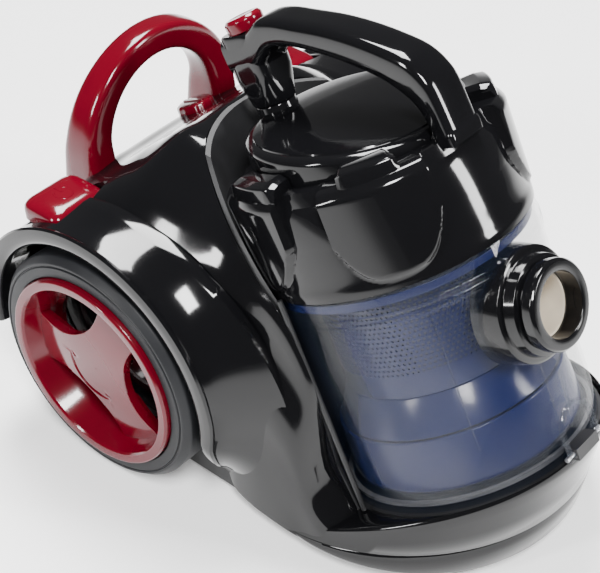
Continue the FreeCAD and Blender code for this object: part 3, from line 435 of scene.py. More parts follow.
def soft_square(power, steps=32):
    """A square of half width 1 whose corners are rounded; a higher power is squarer."""
    ring = []
    for step in range(steps):
        turn = math.tau * (step + 0.5) / steps
        ring.append(tuple(math.copysign(abs(part) ** (2 / power), part)
                          for part in (math.cos(turn), math.sin(turn))))
    return ring


def carve(target, *cutters):
    """Takes each cutter out of the target and throws the cutter away."""
    for cutter in cutters:
        change = target.modifiers.new("carve", "BOOLEAN")
        change.operation = "DIFFERENCE"
        change.solver = "EXACT"
        change.object = cutter
        bpy.context.view_layer.update()
        graph = bpy.context.evaluated_depsgraph_get()
        mesh = bpy.data.meshes.new_from_object(target.evaluated_get(graph))
        target.modifiers.clear()
        target.data = mesh
        bpy.data.objects.remove(cutter)
    target.data.set_sharp_from_angle(angle=math.radians(35))


def tool(verts, faces, place=None):
    """A plain closed mesh used only to carve with."""
    made = bpy.data.objects.new("tool", clean_mesh("tool", verts, faces))
    bpy.context.scene.collection.objects.link(made)
    if place is not None:
        made.matrix_world = place
    return made


def drum(radius, low, high, steps=160):
    return sheet_of([[(x, y, z) for x, y in circle(radius, steps)] for z in (low, high)],
                    loop=True, ends=True)


def brick(low, high):
    x0, y0, z0 = low
    x1, y1, z1 = high
    ring = [(x0, y0), (x1, y0), (x1, y1), (x0, y1)]
    return sheet_of([[(x, y, z) for x, y in ring] for z in (z0, z1)], loop=True, ends=True)


def below(height):
    """A cutter that takes away everything under a level."""
    return tool(*brick((-200, -406, height - 300), (200, 300, height)))


# ---------------------------------------------------------------- housing

RECESS = 92.0       # radius of the well that the bin stands in
PEDAL_DEPTH = 15    # from a pedal's crown to its underside

# along Y from the axle, sill half width, side half width, side height, crest half width,
# crest height, flat half width, top height, sill height
BODY = [
    (-176, 110, 108, 24, 100, 30, 86, 35, 12),
    (-158, 113, 112, 40, 100, 52, 87, 60, 12),
    (-140, 114, 112, 75, 98, 108, 86, 128, 12),
    (-117, 113, 112, 95, 97, 134, 86, 162, 12),
    (-94, 110, 111, 110, 97, 152, 80, 178, 14),
    (-75, 104, 109, 120, 98, 167, 76, 190, 32),
    (-36, 104, 108, 130, 100, 176, 56, 214, 32),
    (-7, 104, 108, 130, 101, 181, 56, 217, 32),
    (20, 104, 108, 124, 103, 176, 60, 199, 32),
    (48, 104, 108, 110, 106, 163, 64, 176, 32),
    (64, 103, 107, 95, 103, 152, 62, 167, 32),
    (78, 96, 102, 72, 92, 130, 56, 149, 32),
    (87, 84, 90, 62, 78, 118, 48, 137, 32),
    (92, 72, 76, 60, 64, 108, 40, 126, 33),
]


def section(row, inset=0.0):
    """Upright outline of the body from one sill over the top to the other."""
    sill, half, side_z, crest, crest_z, flat, top, low = row
    right = [(sill - inset, low), (half - inset, side_z), (crest - inset, crest_z - inset),
             (flat - inset, top - inset), (flat * 0.45, top + 1.5 - inset), (0, top + 2 - inset)]
    line = smooth_line(right + [(-x, z) for x, z in reversed(right[:-1])], steps=6)
    return [(point.x, point.y) for point in line]


def pedal_well(side):
    """Room for a pedal over its travel."""
    low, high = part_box("pedal_power" if side < 0 else "pedal_rewind")
    room, above = 0.8, 100
    travel = joint("power_press")["range_m"][1] / MM
    return tool(*brick((low.x / MM - room, low.y / MM - room, high.z / MM - PEDAL_DEPTH - travel),
                       (high.x / MM + room, high.y / MM + room, high.z / MM + above)))


def housing():
    rows = []
    front, rear = BODY[0][0], BODY[-1][0]
    steps = 90
    for step in range(steps + 1):
        along = front + (rear - front) * step / steps
        rows.append([(x, axle_y + along, z) for x, z in section(follow(BODY, along))])
    closing = follow(BODY, rear)
    for extra, inset in ((0.7, 1.2), (1.0, 3.5)):
        rows.append([(x, axle_y + rear + extra, z) for x, z in section(closing, inset)])
    verts, faces = sheet_of(rows, loop=True, ends=True)
    body = piece("upper_shell", verts, faces, "chassis", "gloss_black",
                 stands_for=("upper_housing",))
    verts, faces = drum(RECESS, -4, 400)
    cutters = [tool(verts, faces, BIN)]
    cutters += [pedal_well(side) for side in (-1, 1)]
    low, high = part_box("exhaust_grille")
    gap, depth = 0.5, 12
    verts, faces = brick((low.x / MM - gap, low.y / MM - depth, low.z / MM - gap),
                         (high.x / MM + gap, high.y / MM + depth, high.z / MM + gap))
    cutters.append(tool(verts, faces))
    carve(body, *cutters)
    return body


def nose():
    """Round bow under the bin: outer skin, parting groove, rolled rim and seat wall."""
    # radius, centre's Y and height of the skin's foot and of its top
    foot, top = (115.0, -62.0, 12.0), (98.0, -89.0, 82.0)
    first, last, count = 170, 370, 110
    rim_inset = 2.4
    to_bin = BIN.inverted()

    def skin(angle, t, inset=0.0):
        """Point of the skin a share t of the way from its foot to its top."""
        radius = foot[0] + (top[0] - foot[0]) * t - inset
        middle = foot[1] + (top[1] - foot[1]) * t
        return Vector((radius * math.cos(angle), middle + radius * math.sin(angle),
                       foot[2] + (top[2] - foot[2]) * t))

    rows = []
    for index in range(count + 1):
        angle = math.radians(first + (last - first) * index / count)
        low_h, high_h = ((to_bin @ (skin(angle, t) * MM)).z / MM for t in (0.0, 1.0))
        brink = max(0.02, (1.0 - low_h) / (high_h - low_h))
        line = [skin(angle, 0.0, 6.0) - Vector((0, 0, 2)), skin(angle, 0.0, 1.2),
                skin(angle, 0.03)]
        for share, inset in ((0.2, 0), (0.33, 0), (0.345, 0.8), (0.36, 0), (0.6, 0), (0.8, 0),
                             (0.93, 0.2), (0.97, 0.8), (1.0, rim_inset)):
            line.append(skin(angle, brink * share, inset))
        edge = to_bin @ (skin(angle, brink, rim_inset) * MM) / MM
        around = Vector((edge.x, edge.y)).normalized()
        for radius, h in ((88.6, 1.0), (87.0, 0.4), (86.4, -1.0), (86.4, -6.0)):
            if Vector((edge.x, edge.y)).length > radius:
                inner = BIN @ (Vector((around.x * radius, around.y * radius, h)) * MM)
                line.append(inner / MM)
            else:
                line.append(Vector(line[-1]) - Vector((0, 0, 0.2)))
        rows.append([tuple(point) for point in line])
    verts, faces = sheet_of(rows)
    return piece("nose_bow", verts, faces, "chassis", "gloss_black", sharp=60)


# degrees over the wheel from level with the axle, and the inner radius of the flare
FLARE = [(-6, 95), (20, 98), (40, 103), (100, 105), (125, 112), (150, 124), (175, 136),
         (216, 142)]


def fender(side):
    """Guard over a wheel: a beaded lip, and a flare from it into the body's side."""
    start, end, count = 214, -6, 110
    body_x, lip = 104, 100.2
    front_limit = 94.6
    rows = []
    for index in range(count + 1):
        degree = start + (end - start) * index / count
        angle = math.radians(degree)
        room = front_limit / max(0.3, math.cos(angle))
        inner = follow(FLARE, degree)[0]
        sink = 1 - 0.82 * min(1.0, max(0.0, (degree - 184) / 28)) ** 1.5
        bead = min(1.0, max(0.0, (186 - degree) / 14), max(0.0, (degree + 7) / 10))
        root = 98 - 27 * min(1.0, max(0.0, (48 - degree) / 30))
        line = [(root, 88.5), (118, 88.3), (131, 88.4), (135.4, 89.6), (137.4, 91.6),
                (138, 94), (138, 97 + bead), (137.4, 99.2 + 1.8 * bead),
                (136, 99.9 + 2.3 * bead), (134.6, 100.1 + 1.7 * bead), (133.2, lip)]
        for step in range(1, 10):
            share = step / 9
            line.append((133.2 - 29.2 * share, lip + (inner - lip) * share ** 1.5))
        line.append((root, inner))
        row = []
        for x, radius in line:
            radius = min(radius, room)
            row.append((side * (body_x + (x - body_x) * (sink if x > body_x else 1)),
                        axle_y + radius * math.cos(angle), axle_z + radius * math.sin(angle)))
        rows.append(row)
    verts, faces = sheet_of(rows, loop=True, ends=True)
    guard = piece(f"fender_{SIDE_NAMES[side]}", verts, faces, "chassis", "gloss_black")
    carve(guard, pedal_well(side))
    return guard


def seat_lip():
    """Slim bead where each arm of the housing hugs the bin."""
    low, length, count = 2, 148, 60
    corners = 8
    beads = []
    for side in (-1, 1):
        angle = math.radians(-90 + side * 102)
        rows = []
        for index in range(count + 1):
            ring = []
            for step in range(corners):
                turn = math.tau * step / corners
                radius = 89.8 + 1.8 * math.cos(turn)
                shift = 0.02 * math.sin(turn)
                point = BIN @ (Vector((radius * math.cos(angle + shift),
                                       radius * math.sin(angle + shift),
                                       low + length * index / count)) * MM)
                ring.append(tuple(point / MM))
            rows.append(ring)
        beads.append(sheet_of(rows, loop=True, ends=True))
    verts, faces = joined(beads)
    return piece("seat_lip", verts, faces, "chassis", "matte_black")


# ---------------------------------------------------------------- wheels

def tyre(side):
    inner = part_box("tyre_left")[1].x / MM
    profile = rounded([(68.2, 0, 0.5), (76, 0, 2), (81.9, 3, 2.5), (81.9, 22, 3), (78, 26.4, 2.5),
                       (76.6, 26.4, 0.5), (76.2, 25.6, 0.4), (75.6, 25.6, 0.4),
                       (75.2, 26.7, 0.5), (68.2, 26.9, 1.2)], 4)
    rows = []
    steps = 160
    for index in range(steps):
        angle = math.tau * index / steps
        rows.append([(side * (-inner + z), axle_y + r * math.cos(angle),
                      axle_z + r * math.sin(angle)) for r, z in profile])
    verts, faces = sheet_of(rows, loop=True, wrap=True)
    name = SIDE_NAMES[side]
    return piece(f"tyre_skin_{name}", verts, faces, f"{name}_wheel", "tyre_grey",
                 stands_for=(f"tyre_{name}",))


WINDOW_TURN = 55.0  # degrees round the wheel to the middle of the first window


def rim(side):
    """Deep dished rim with a raised plate of three arms."""
    name = SIDE_NAMES[side]
    inner = -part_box("tyre_left")[1].x / MM

    def at(r, z, angle):
        return (side * (inner + z), axle_y + r * math.cos(angle), axle_z + r * math.sin(angle))

    steps = 180
    dish = rounded([(67.9, 1, 0.5), (67.9, 29.2, 1.2), (66.8, 30.9, 1.0), (61.5, 30.6, 1.2),
                    (60.2, 29.0, 1.0), (52.5, 8, 2), (50, 5, 0.8), (50, 1, 0.5), (54, 1, 1)], 4)
    rows = [[at(r, z, math.tau * i / steps) for r, z in dish] for i in range(steps)]
    verts, faces = sheet_of(rows, loop=True, wrap=True)
    made = [piece(f"rim_dish_{name}", verts, faces, f"{name}_wheel", "gloss_red",
                  stands_for=(f"rim_{name}",))]

    nearest, reach, spread = 25.0, 58.5, math.radians(40)
    middle = ((reach * math.cos(spread)) ** 2 + (reach * math.sin(spread)) ** 2
              - nearest ** 2) / (2 * (reach * math.cos(spread) - nearest))
    bend = middle - nearest
    crescent_turn = 55

    def plate(r, angle):
        """Height of the plate's face, dished to the arm ends, with an engraved crescent."""
        along = (math.degrees(angle) + crescent_turn + 180) % 360 - 180
        depth = 1.1 * max(0.0, math.cos(math.radians(min(90, abs(along) * 1.45)))) ** 0.5
        return 23.5 - 5.5 * (r / reach) ** 2.4 - (depth if 21.4 < r < 23.8 else 0)

    def edge(angle):
        best = reach
        for window in range(3):
            centre = math.radians(WINDOW_TURN + 120 * window)
            off = (angle - centre + math.pi) % math.tau - math.pi
            inside = bend ** 2 - (middle * math.sin(off)) ** 2
            if abs(off) < math.pi / 2 and inside > 0:
                best = min(best, middle * math.cos(off) - math.sqrt(inside))
        return best

    hub = 24.3
    rows = []
    for index in range(steps * 2):
        angle = math.tau * index / (steps * 2)
        limit = edge(angle)
        line = []
        for r in (0.5, 8, 15, 20.9, 21.5, 22.6, 23.7, hub):
            line.append(at(r, plate(r, angle), angle))
        for share in (0.25, 0.5, 0.75, 0.92):
            r = hub + (limit - hub) * share
            line.append(at(r, plate(r, angle), angle))
        z = plate(limit, angle)
        line += [at(limit - 0.5, z - 0.05, angle), at(limit, z - 0.7, angle),
                 at(limit - 0.6, z - 6, angle), at(limit * 0.5, z - 7, angle),
                 at(11, 17, angle), at(11, 1, angle), at(6, 1, angle)]
        rows.append(line)
    verts, faces = sheet_of(rows, wrap=True)
    made.append(piece(f"rim_plate_{name}", verts, faces, f"{name}_wheel", "gloss_red"))
    return made


# ---------------------------------------------------------------- rear handle, pedals, knob

def arch():
    low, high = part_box("carry_handle")
    centre_y = (low.y + high.y) / 2 / MM
    centre_z = high.z / MM - 70.0
    bend = 58.5
    path = []
    for drop in (46, 30, 15):
        path.append((bend, centre_z - drop, 0.0))
    for degree in range(0, 181, 5):
        angle = math.radians(degree)
        path.append((bend * math.cos(angle), centre_z + bend * math.sin(angle), degree))
    for drop in (15, 30, 46):
        path.append((-bend, centre_z - drop, 180.0))
    rows = []
    for x, z, degree in path:
        angle = math.radians(degree)
        lift = math.sin(angle)
        low_part = max(0.0, (centre_z + 12 - z) / 58)
        deep = 14.0 - 4.0 * lift + 7.0 * low_part
        thick = 11.4 - 1.6 * lift
        ring = [(x + thick * away * math.cos(angle), centre_y + deep * along,
                 z + thick * away * math.sin(angle)) for away, along in soft_square(4.0, 36)]
        rows.append(ring)
    verts, faces = sheet_of(rows, loop=True, ends=True)
    return piece("arch_handle", verts, faces, "chassis", "gloss_red",
                 stands_for=("carry_handle",))


def pedal(side):
    """Crowned pedal with a rolled rim, its stem and a raised sign."""
    name = "power" if side < 0 else "rewind"
    low, high = (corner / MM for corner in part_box(f"pedal_{name}"))
    middle = Vector(((low.x + high.x) / 2, (low.y + high.y) / 2, 0))
    half_x, half_y = (high.x - low.x) / 2, (high.y - low.y) / 2
    top = high.z
    rows = []

    def ring(shrink, z, crown=0.0):
        x, y, corner = half_x - shrink, half_y - shrink, 8
        line = rounded([(x, y, corner), (-x, y, corner), (-x, -y, corner), (x, -y, corner)], 6)
        out = []
        for x, y in line:
            droop = crown * ((x / half_x) ** 2 * 0.6 + (y / half_y) ** 2 * 0.4)
            out.append((middle.x + x, middle.y + y, z - droop))
        return out

    for shrink, z, crown in ((1.5, top - PEDAL_DEPTH, 0), (0.2, top - 14, 0), (0, top - 8, 0),
                             (0.3, top - 4.5, 1), (1.2, top - 2.6, 1.4), (2.8, top - 1.2, 1.8),
                             (5, top - 0.5, 1.8), (8.5, top - 0.15, 1.5), (12, top - 0.05, 1)):
        rows.append(ring(shrink, z, crown))
    verts, faces = sheet_of(rows, loop=True, ends=True)
    body = piece(f"pedal_cap_{name}", verts, faces, f"{name}_pedal", "gloss_red",
                 stands_for=(f"pedal_{name}",))
    stem_x, stem_radius = side * 96.0, 4.0
    verts, faces = drum(stem_radius, top - 34, top - 14, 32)
    stem = piece(f"pedal_stem_{name}", moved(verts, stem_x, middle.y), faces, f"{name}_pedal",
                 "gloss_red")
    rows = []
    first, last = (130, 410) if side < 0 else (40, 330)
    count, sign_radius = 48, 6.0
    for index in range(count + 1):
        angle = math.radians(first + (last - first) * index / count)
        x, y = sign_radius * math.cos(angle), sign_radius * math.sin(angle)
        across = Vector((math.cos(angle), math.sin(angle), 0))
        base = middle + Vector((x, y, top - 0.3))
        rows.append([tuple(base - across * 0.8), tuple(base - across * 0.5 + Vector((0, 0, 0.3))),
                     tuple(base + across * 0.5 + Vector((0, 0, 0.3))), tuple(base + across * 0.8)])
    verts, faces = sheet_of(rows, ends=True)
    sign = piece(f"pedal_sign_{name}", verts, faces, f"{name}_pedal", "gloss_red")
    if side < 0:
        verts, faces = brick((middle.x - 0.7, middle.y + 1.5, top - 0.6),
                             (middle.x + 0.7, middle.y + 8.0, top))
    else:
        verts, faces = sheet_of([[(middle.x + 6 + a, middle.y - 6 + b, z) for a, b in
                                  ((-4, 4), (2, 5), (0, -1))] for z in (top - 0.6, top)],
                                loop=True, ends=True)
    mark = piece(f"pedal_mark_{name}", verts, faces, f"{name}_pedal", "gloss_red")
    return body, stem, sign, mark


def knob():
    """Fluted suction knob with a pointer bar, on its stem."""
    radius, flutes, flute_depth, steps = 13.0, 12, 0.55, 96
    rows = []
    for share, z in ((0.98, 0.8), (1.0, 1.4), (1.0, 5.2), (0.96, 6.8), (0.86, 7.6),
                     (0.5, 7.8), (0.05, 7.8)):
        ring = []
        for step in range(steps):
            angle = math.tau * step / steps
            flute = flute_depth * (0.5 + 0.5 * math.cos(flutes * angle)) if share > 0.9 else 0
            r = (radius - flute) * share
            ring.append((r * math.cos(angle), r * math.sin(angle), z))
        rows.append(ring)
    verts, faces = sheet_of(rows, loop=True, ends=True)
    cap = piece("knob_cap", verts, faces, "knob", "gloss_red", place=KNOB,
                stands_for=("regulator_knob",))
    verts, faces = sheet_of([[(x, y, z) for x, y in rounded(
        [(-1.4, -10, 1), (1.4, -10, 1), (1.4, 10, 1), (-1.4, 10, 1)], 3)]
        for z in (7.0, 8.6)], loop=True, ends=True)
    bar = piece("knob_pointer", verts, faces, "knob", "gloss_red", place=KNOB)
    verts, faces = drum(3.2, -9, 1, 32)
    stem = piece("knob_stem", verts, faces, "knob", "gloss_red", place=KNOB)
    return cap, bar, stem


# ---------------------------------------------------------------- dust bin

def cup():
    """Clear cup: tapered wall, two bead lines under its mouth and a rolled foot."""
    low, high = 3.6, 146.5
    foot, mouth, wall = 83.4, 86.0, 2.2

    def at(h):
        return foot + (mouth - foot) * h / high

    outer = [(at(low) - 0.2, low, 0.6), (at(10), 10, 0), (at(60), 60, 0), (at(126), 126, 0),
             (at(128), 128, 0.8), (at(128.4) + 0.9, 128.6, 0.6), (at(131) + 0.9, 130.6, 0.6),
             (at(131), 131.0, 0.6), (at(133), 133, 0.6), (at(133) + 0.9, 133.4, 0.5),
             (at(135) + 0.9, 135.0, 0.5), (at(135), 135.4, 0.5), (mouth, high, 0.4)]
    inner = [(mouth - wall, high, 0.4), (at(60) - wall, 60, 0), (at(low) - wall, low, 0.4)]
    verts, faces = lathe(outer + inner, 192, 2)
    shell = piece("cup_clear", verts, faces, "bin", "clear_tint", place=BIN,
                  stands_for=("dust_cup",), sharp=50)
    carve(shell, below(11), tool(*drum(21.6, 0, 200, 64), INLET))
    for index, degree in enumerate((-132, -95)):
        across = Vector((math.cos(math.radians(degree + 90)), math.sin(math.radians(degree + 90))))
        away = Vector((math.cos(math.radians(degree)), math.sin(math.radians(degree))))
        rows = []
        for h in (34, 60, 94, 127):
            corners = [away * (at(h) + reach) + across * half
                       for reach, half in ((-0.3, -0.6), (0.5, -0.2), (0.5, 0.2), (-0.3, 0.6))]
            rows.append([(corner.x, corner.y, h) for corner in corners])
        verts, faces = sheet_of(rows, loop=True, ends=True)
        piece(f"cup_seam_{index + 1}", verts, faces, "bin", "clear_tint", place=BIN)
    return shell


def bowl():
    """Blue tinted lower bowl and flared skirt of the separator."""
    verts, faces = lathe([(2, 62.5, 0.2), (56, 62.5, 2), (69.5, 44, 2), (72, 44, 0.8),
                          (66, 56, 4), (60.8, 66.1, 1), (2, 66.1, 0.2)], 144)
    skirt = piece("separator_flare", verts, faces, "bin", "navy_plastic", place=BIN,
                  stands_for=("separator_skirt",))
    verts, faces = lathe([(2, 5.2, 0.3), (71, 5.2, 3), (75.5, 10, 5), (73.5, 43, 1),
                          (71.8, 43.6, 0.4), (73.5, 12, 3), (70, 7, 3), (2, 6.8, 0.3)], 144)
    liner = piece("bowl_liner", verts, faces, "bin", "navy_plastic", place=BIN)
    carve(liner, below(12.5))
    return skirt, liner


def screen():
    """Separator drum: a flanged core, a thin black sheet of painted shade behind the holes, and a
    sheet of fine round holes.
    """
    radius, low, high = 60.0, 81.0, 129.0
    pitch, hole, skin, corners = 3.3, 1.05, 1.4, 8
    verts, faces = lathe([(57, 66.2, 0.3), (radius, 66.2, 0.5), (radius, low, 0),
                          (58.2, low, 0), (58.2, high, 0), (radius, high, 0), (radius, 136, 3),
                          (62, 138, 2), (82.4, 138.2, 0.5), (82.4, 143.3, 0.5), (57, 143.3, 0.3)],
                         160)
    core = piece("separator_drum", verts, faces, "bin", "navy_plastic", place=BIN,
                 stands_for=("separator_grille",))
    # Painted shade: a thin black sheet just behind the holes stands in for the shade inside the
    # drum.
    verts, faces = lathe([(58.3, low, 0), (58.5, low, 0), (58.5, high, 0), (58.3, high, 0)], 96)
    hole_shade_sheet = piece("separator_hole_shade_sheet", verts, faces, "bin", "matte_black", place=BIN)
    columns = round(math.tau * radius / pitch)
    turn, rows = math.tau / columns, round((high - low) / pitch)
    rise = (high - low) / rows
    verts, faces = [], []
    for row in range(rows):
        for column in range(columns):
            middle = (column + 0.5 * (row % 2)) * turn
            level = low + (row + 0.5) * rise
            first = len(verts)
            for corner in range(corners):
                way = math.tau * corner / corners
                across, along = math.cos(way), math.sin(way)
                square = 1 / max(abs(across), abs(along))
                for reach, depth in ((square, radius), (0, radius), (0, radius - skin)):
                    if reach:
                        angle = middle + across * square * turn / 2
                        h = level + along * square * rise / 2
                    else:
                        angle = middle + across * hole / radius
                        h = level + along * hole
                    verts.append((depth * math.cos(angle), depth * math.sin(angle), h))
            for corner in range(corners):
                here, there = first + corner * 3, first + (corner + 1) % corners * 3
                faces.append((here, there, there + 1, here + 1))
                faces.append((here + 1, there + 1, there + 2, here + 2))
    sheet = piece("separator_holes", verts, faces, "bin", "navy_plastic", place=BIN)
    return core, hole_shade_sheet, sheet


def collar():
    """Black shoulder with four rounded lobes that carry the locking lugs."""
    lobes, half_lobe, limit = (-46, 46, -110, 110), 23.0, 88.0
    base = [(146.8, 86.3), (150, 86.3), (156, 85.2), (170, 83.4), (185, 81.2), (198, 78.8),
            (206, 76.8), (212, 75.0)]
    steps = 480
    rows = []
    heights = [147, 148] + [149 + 1.5 * step for step in range(38)] + [
        206, 207.4, 208.8, 210.2, 211.4]
    for h in heights:
        row = []
        for step in range(steps):
            degree = 360 * step / steps
            radius = follow(base, h)[0]
            for middle in lobes:
                off = abs((degree + 90 - middle + 180) % 360 - 180) / half_lobe
                if off < 1.0:
                    droop = 152.0 + 30 * off ** 3.2
                    rise = min(1.0, max(0.0, (h - droop) / 3.5)) * min(1.0, (1 - off) / 0.05)
                    rise = rise * rise * (3 - 2 * rise)
                    swell = 87.9 - 0.8 * off ** 2 - 0.35 * max(0.0, h - 205.5) ** 1.4
                    radius += max(0.0, swell - radius) * rise
            angle = math.radians(degree)
            radius = min(radius, limit)
            row.append((radius * math.cos(angle), radius * math.sin(angle), h))
        rows.append(row)
    for radius, h in ((70, 211.8), (66.4, 211.8), (66.4, 207), (76, 206), (80.5, 198),
                      (83.0, 170), (83.4, 146.8)):
        rows.append([(x, y, h) for x, y in circle(radius, steps)])
    verts, faces = sheet_of(rows, loop=True, wrap=True)
    shoulder = piece("collar_shoulder", verts, faces, "bin", "gloss_black", place=BIN,
                     stands_for=("collar_cover",), sharp=45)
    parts = [shoulder]
    for index, (middle, spread) in enumerate(((-46, 25), (46, 25), (-104, 34), (104, 34))):
        rows = []
        count = 20
        for step in range(count + 1):
            degree = -90 + middle - spread / 2 + spread * step / count
            fade = min(1.0, min(step, count - step) / 2.0)
            angle = math.radians(degree)
            line = rounded([(66.6, 210, 0.3), (84.5, 209, 1.5), (80 + 3 * fade, 217 + 2 * fade, 2),
                            (76, 218 + 2.6 * fade, 2), (66.6, 218 + 2.6 * fade, 1)], 3)
            rows.append([(r * math.cos(angle), r * math.sin(angle), z) for r, z in line])
        verts, faces = sheet_of(rows, loop=True, ends=True)
        parts.append(piece(f"collar_lug_{index + 1}", verts, faces, "bin", "gloss_black",
                           place=BIN))
    return parts


def lid():
    """Crowned lid with a stepped edge, and the lobe and stub at the foot of the column."""
    steps, rim_radius, underside = 160, 65.9, 208.5
    crown, centre_y, centre_z = 407.0, 57.8, -171.0

    def roof(y):
        return centre_z + math.sqrt(crown ** 2 - (y - centre_y) ** 2)

    rows = []
    for share, step_down in ((0.02, 0), (0.3, 0), (0.6, 0), (0.86, 0), (0.90, 0.1), (0.905, 0.9),
                             (0.93, 1.0), (0.975, 1.6), (0.995, 3.0), (1.0, 4.6)):
        row = []
        for step in range(steps):
            angle = math.tau * step / steps
            x, y = rim_radius * share * math.cos(angle), rim_radius * share * math.sin(angle)
            row.append((x, y, roof(y) - step_down - 0.0006 * x * x))
        rows.append(row)
    rows.append([(x, y, underside) for x, y, _ in rows[-1]])
    rows.append([(x * 0.95, y * 0.95, underside) for x, y, _ in rows[-1]])
    verts, faces = sheet_of(rows, loop=True, ends=True)
    cap = piece("lid_crown", verts, faces, "bin", "gloss_black", place=BIN,
                stands_for=("lid_cap",))
    verts, faces = lathe([(4, 213, 0.3), (20, 212.6, 1), (20, 226, 4), (14, 231, 4), (12.6, 240, 1),
                          (4, 240, 0.3)], 96)
    lobe = piece("lid_lobe", moved(verts, 0, COLUMN_Y), faces, "bin", "gloss_black", place=BIN)
    verts, faces = lathe([(4, 226, 0.3), (10.9, 226, 0.5), (10.9, 261.5, 1), (4, 261.5, 0.3)], 64)
    stub = piece("lid_stub", moved(verts, 0, COLUMN_Y), faces, "bin", "gloss_black", place=BIN)
    return cap, lobe, stub


def grip():
    """Arched handle of the bin, from the rear column over to its front foot."""
    outer = smooth_line([(73.6, 286), (62, 287.2), (52, 288.4), (46, 291), (38, 294.5), (26, 294),
                         (11, 290.5), (-11, 285), (-31, 278), (-50, 269.5), (-66, 260.5),
                         (-75, 250), (-79, 239), (-82, 212)], 5)
    inner = smooth_line([(-67, 211), (-66, 221), (-63.5, 229), (-58, 237), (-48, 246.5),
                         (-37, 253.5), (-24, 260), (-8, 267), (9, 273), (22, 275.5), (33, 275),
                         (43, 268), (50, 263), (72, 262)], 5)
    half = 14.4
    rows = []
    for top, under in zip(outer, reversed(inner)):
        middle, reach = (top + under) / 2, (top - under) / 2
        rows.append([(half * across, middle.x + reach.x * away, middle.y + reach.y * away)
                     for across, away in soft_square(4.0, 40)])
    verts, faces = sheet_of(rows, loop=True, ends=True)
    bow = piece("bin_grip", verts, faces, "bin", "gloss_black", place=BIN,
                stands_for=("bin_handle",), sharp=60)
    rows = []
    for h, reach, power in ((240.4, 12.6, 2), (240.6, 13.4, 2), (242, 13.9, 2.1), (248, 14.1, 2.6),
                            (254, 14.2, 3.6), (260, 14.3, 5), (284, 14.3, 5.5), (286.4, 14.0, 5.5),
                            (287.4, 13.2, 5.5)):
        rows.append([(reach * x, COLUMN_Y + reach * y, h) for x, y in soft_square(power, 72)])
    verts, faces = sheet_of(rows, loop=True, ends=True)
    sleeve = piece("grip_column", verts, faces, "bin", "gloss_black", place=BIN)
    foot = []
    for shrink, h in ((0, 207), (0, 212), (0.4, 214.5), (1.6, 216)):
        x, front, back, corner = half - shrink, -82.5 + shrink, -66 - shrink, 3
        line = rounded([(x, front, corner), (x, back, corner), (-x, back, corner),
                        (-x, front, corner)])
        foot.append([(x, y, h) for x, y in line])
    verts, faces = sheet_of(foot, loop=True, ends=True)
    base = piece("grip_foot", verts, faces, "bin", "gloss_black", place=BIN)
    return bow, sleeve, base


def release():
    """Red release button, domed and dished, in the top of the column."""
    tilt, seat = math.radians(-8), 287
    place = BIN @ Matrix.Translation((0, COLUMN_Y * MM, seat * MM)) @ Matrix.Rotation(
        tilt, 4, "X")
    verts, faces = lathe([(0.4, 0, 0.1), (12.3, 0, 0.8), (12.3, 6.8, 2.0), (10.4, 9.2, 1.6),
                          (8, 8.6, 2), (0.4, 8.2, 0.1)], 96)
    return piece("release_cap", verts, faces, "release", "gloss_red", place=place,
                 stands_for=("release_button",))


def nozzle():
    """Stepped inlet: wide collar against the cup, neck with a keyway, and the end ring."""
    verts, faces = lathe([(19.7, 78, 0.3), (36.5, 70, 0.3), (34.6, 89, 0.8), (33.0, 89.6, 0.3),
                          (30.8, 89.8, 0.3), (29.6, 96.4, 0.6), (24, 97.6, 0.4), (24, 107.3, 0.4),
                          (19.7, 107.3, 0.8)], 128)
    body = piece("inlet_body", verts, faces, "bin", "gloss_black", place=INLET,
                 stands_for=("inlet_nozzle",))
    verts, faces = lathe([(24.1, 98.2, 0.3), (26.6, 98.2, 1.0), (27.1, 100, 1.2), (27.1, 105.8, 2.0),
                          (25.6, 107.4, 1.2), (20.4, 107.45, 1.0), (20.4, 106.0, 0.4),
                          (24.1, 106, 0.3)], 128)
    ring = piece("inlet_ring", verts, faces, "bin", "gloss_black", place=INLET,
                 stands_for=("nozzle_ring",))
    # A pale sleeve deep in the bore is painted light: it stands in for light seen inside the bore.
    verts, faces = lathe([(17.6, 62, 0.3), (19.6, 62, 0.3), (19.65, 95, 0.3), (18.4, 95, 0.3)],
                         96)
    sleeve = piece("inlet_painted_light_sleeve", verts, faces, "bin", "clear_tint", place=INLET, finish=BORE_LIGHT_PAINT)
    return body, ring, sleeve


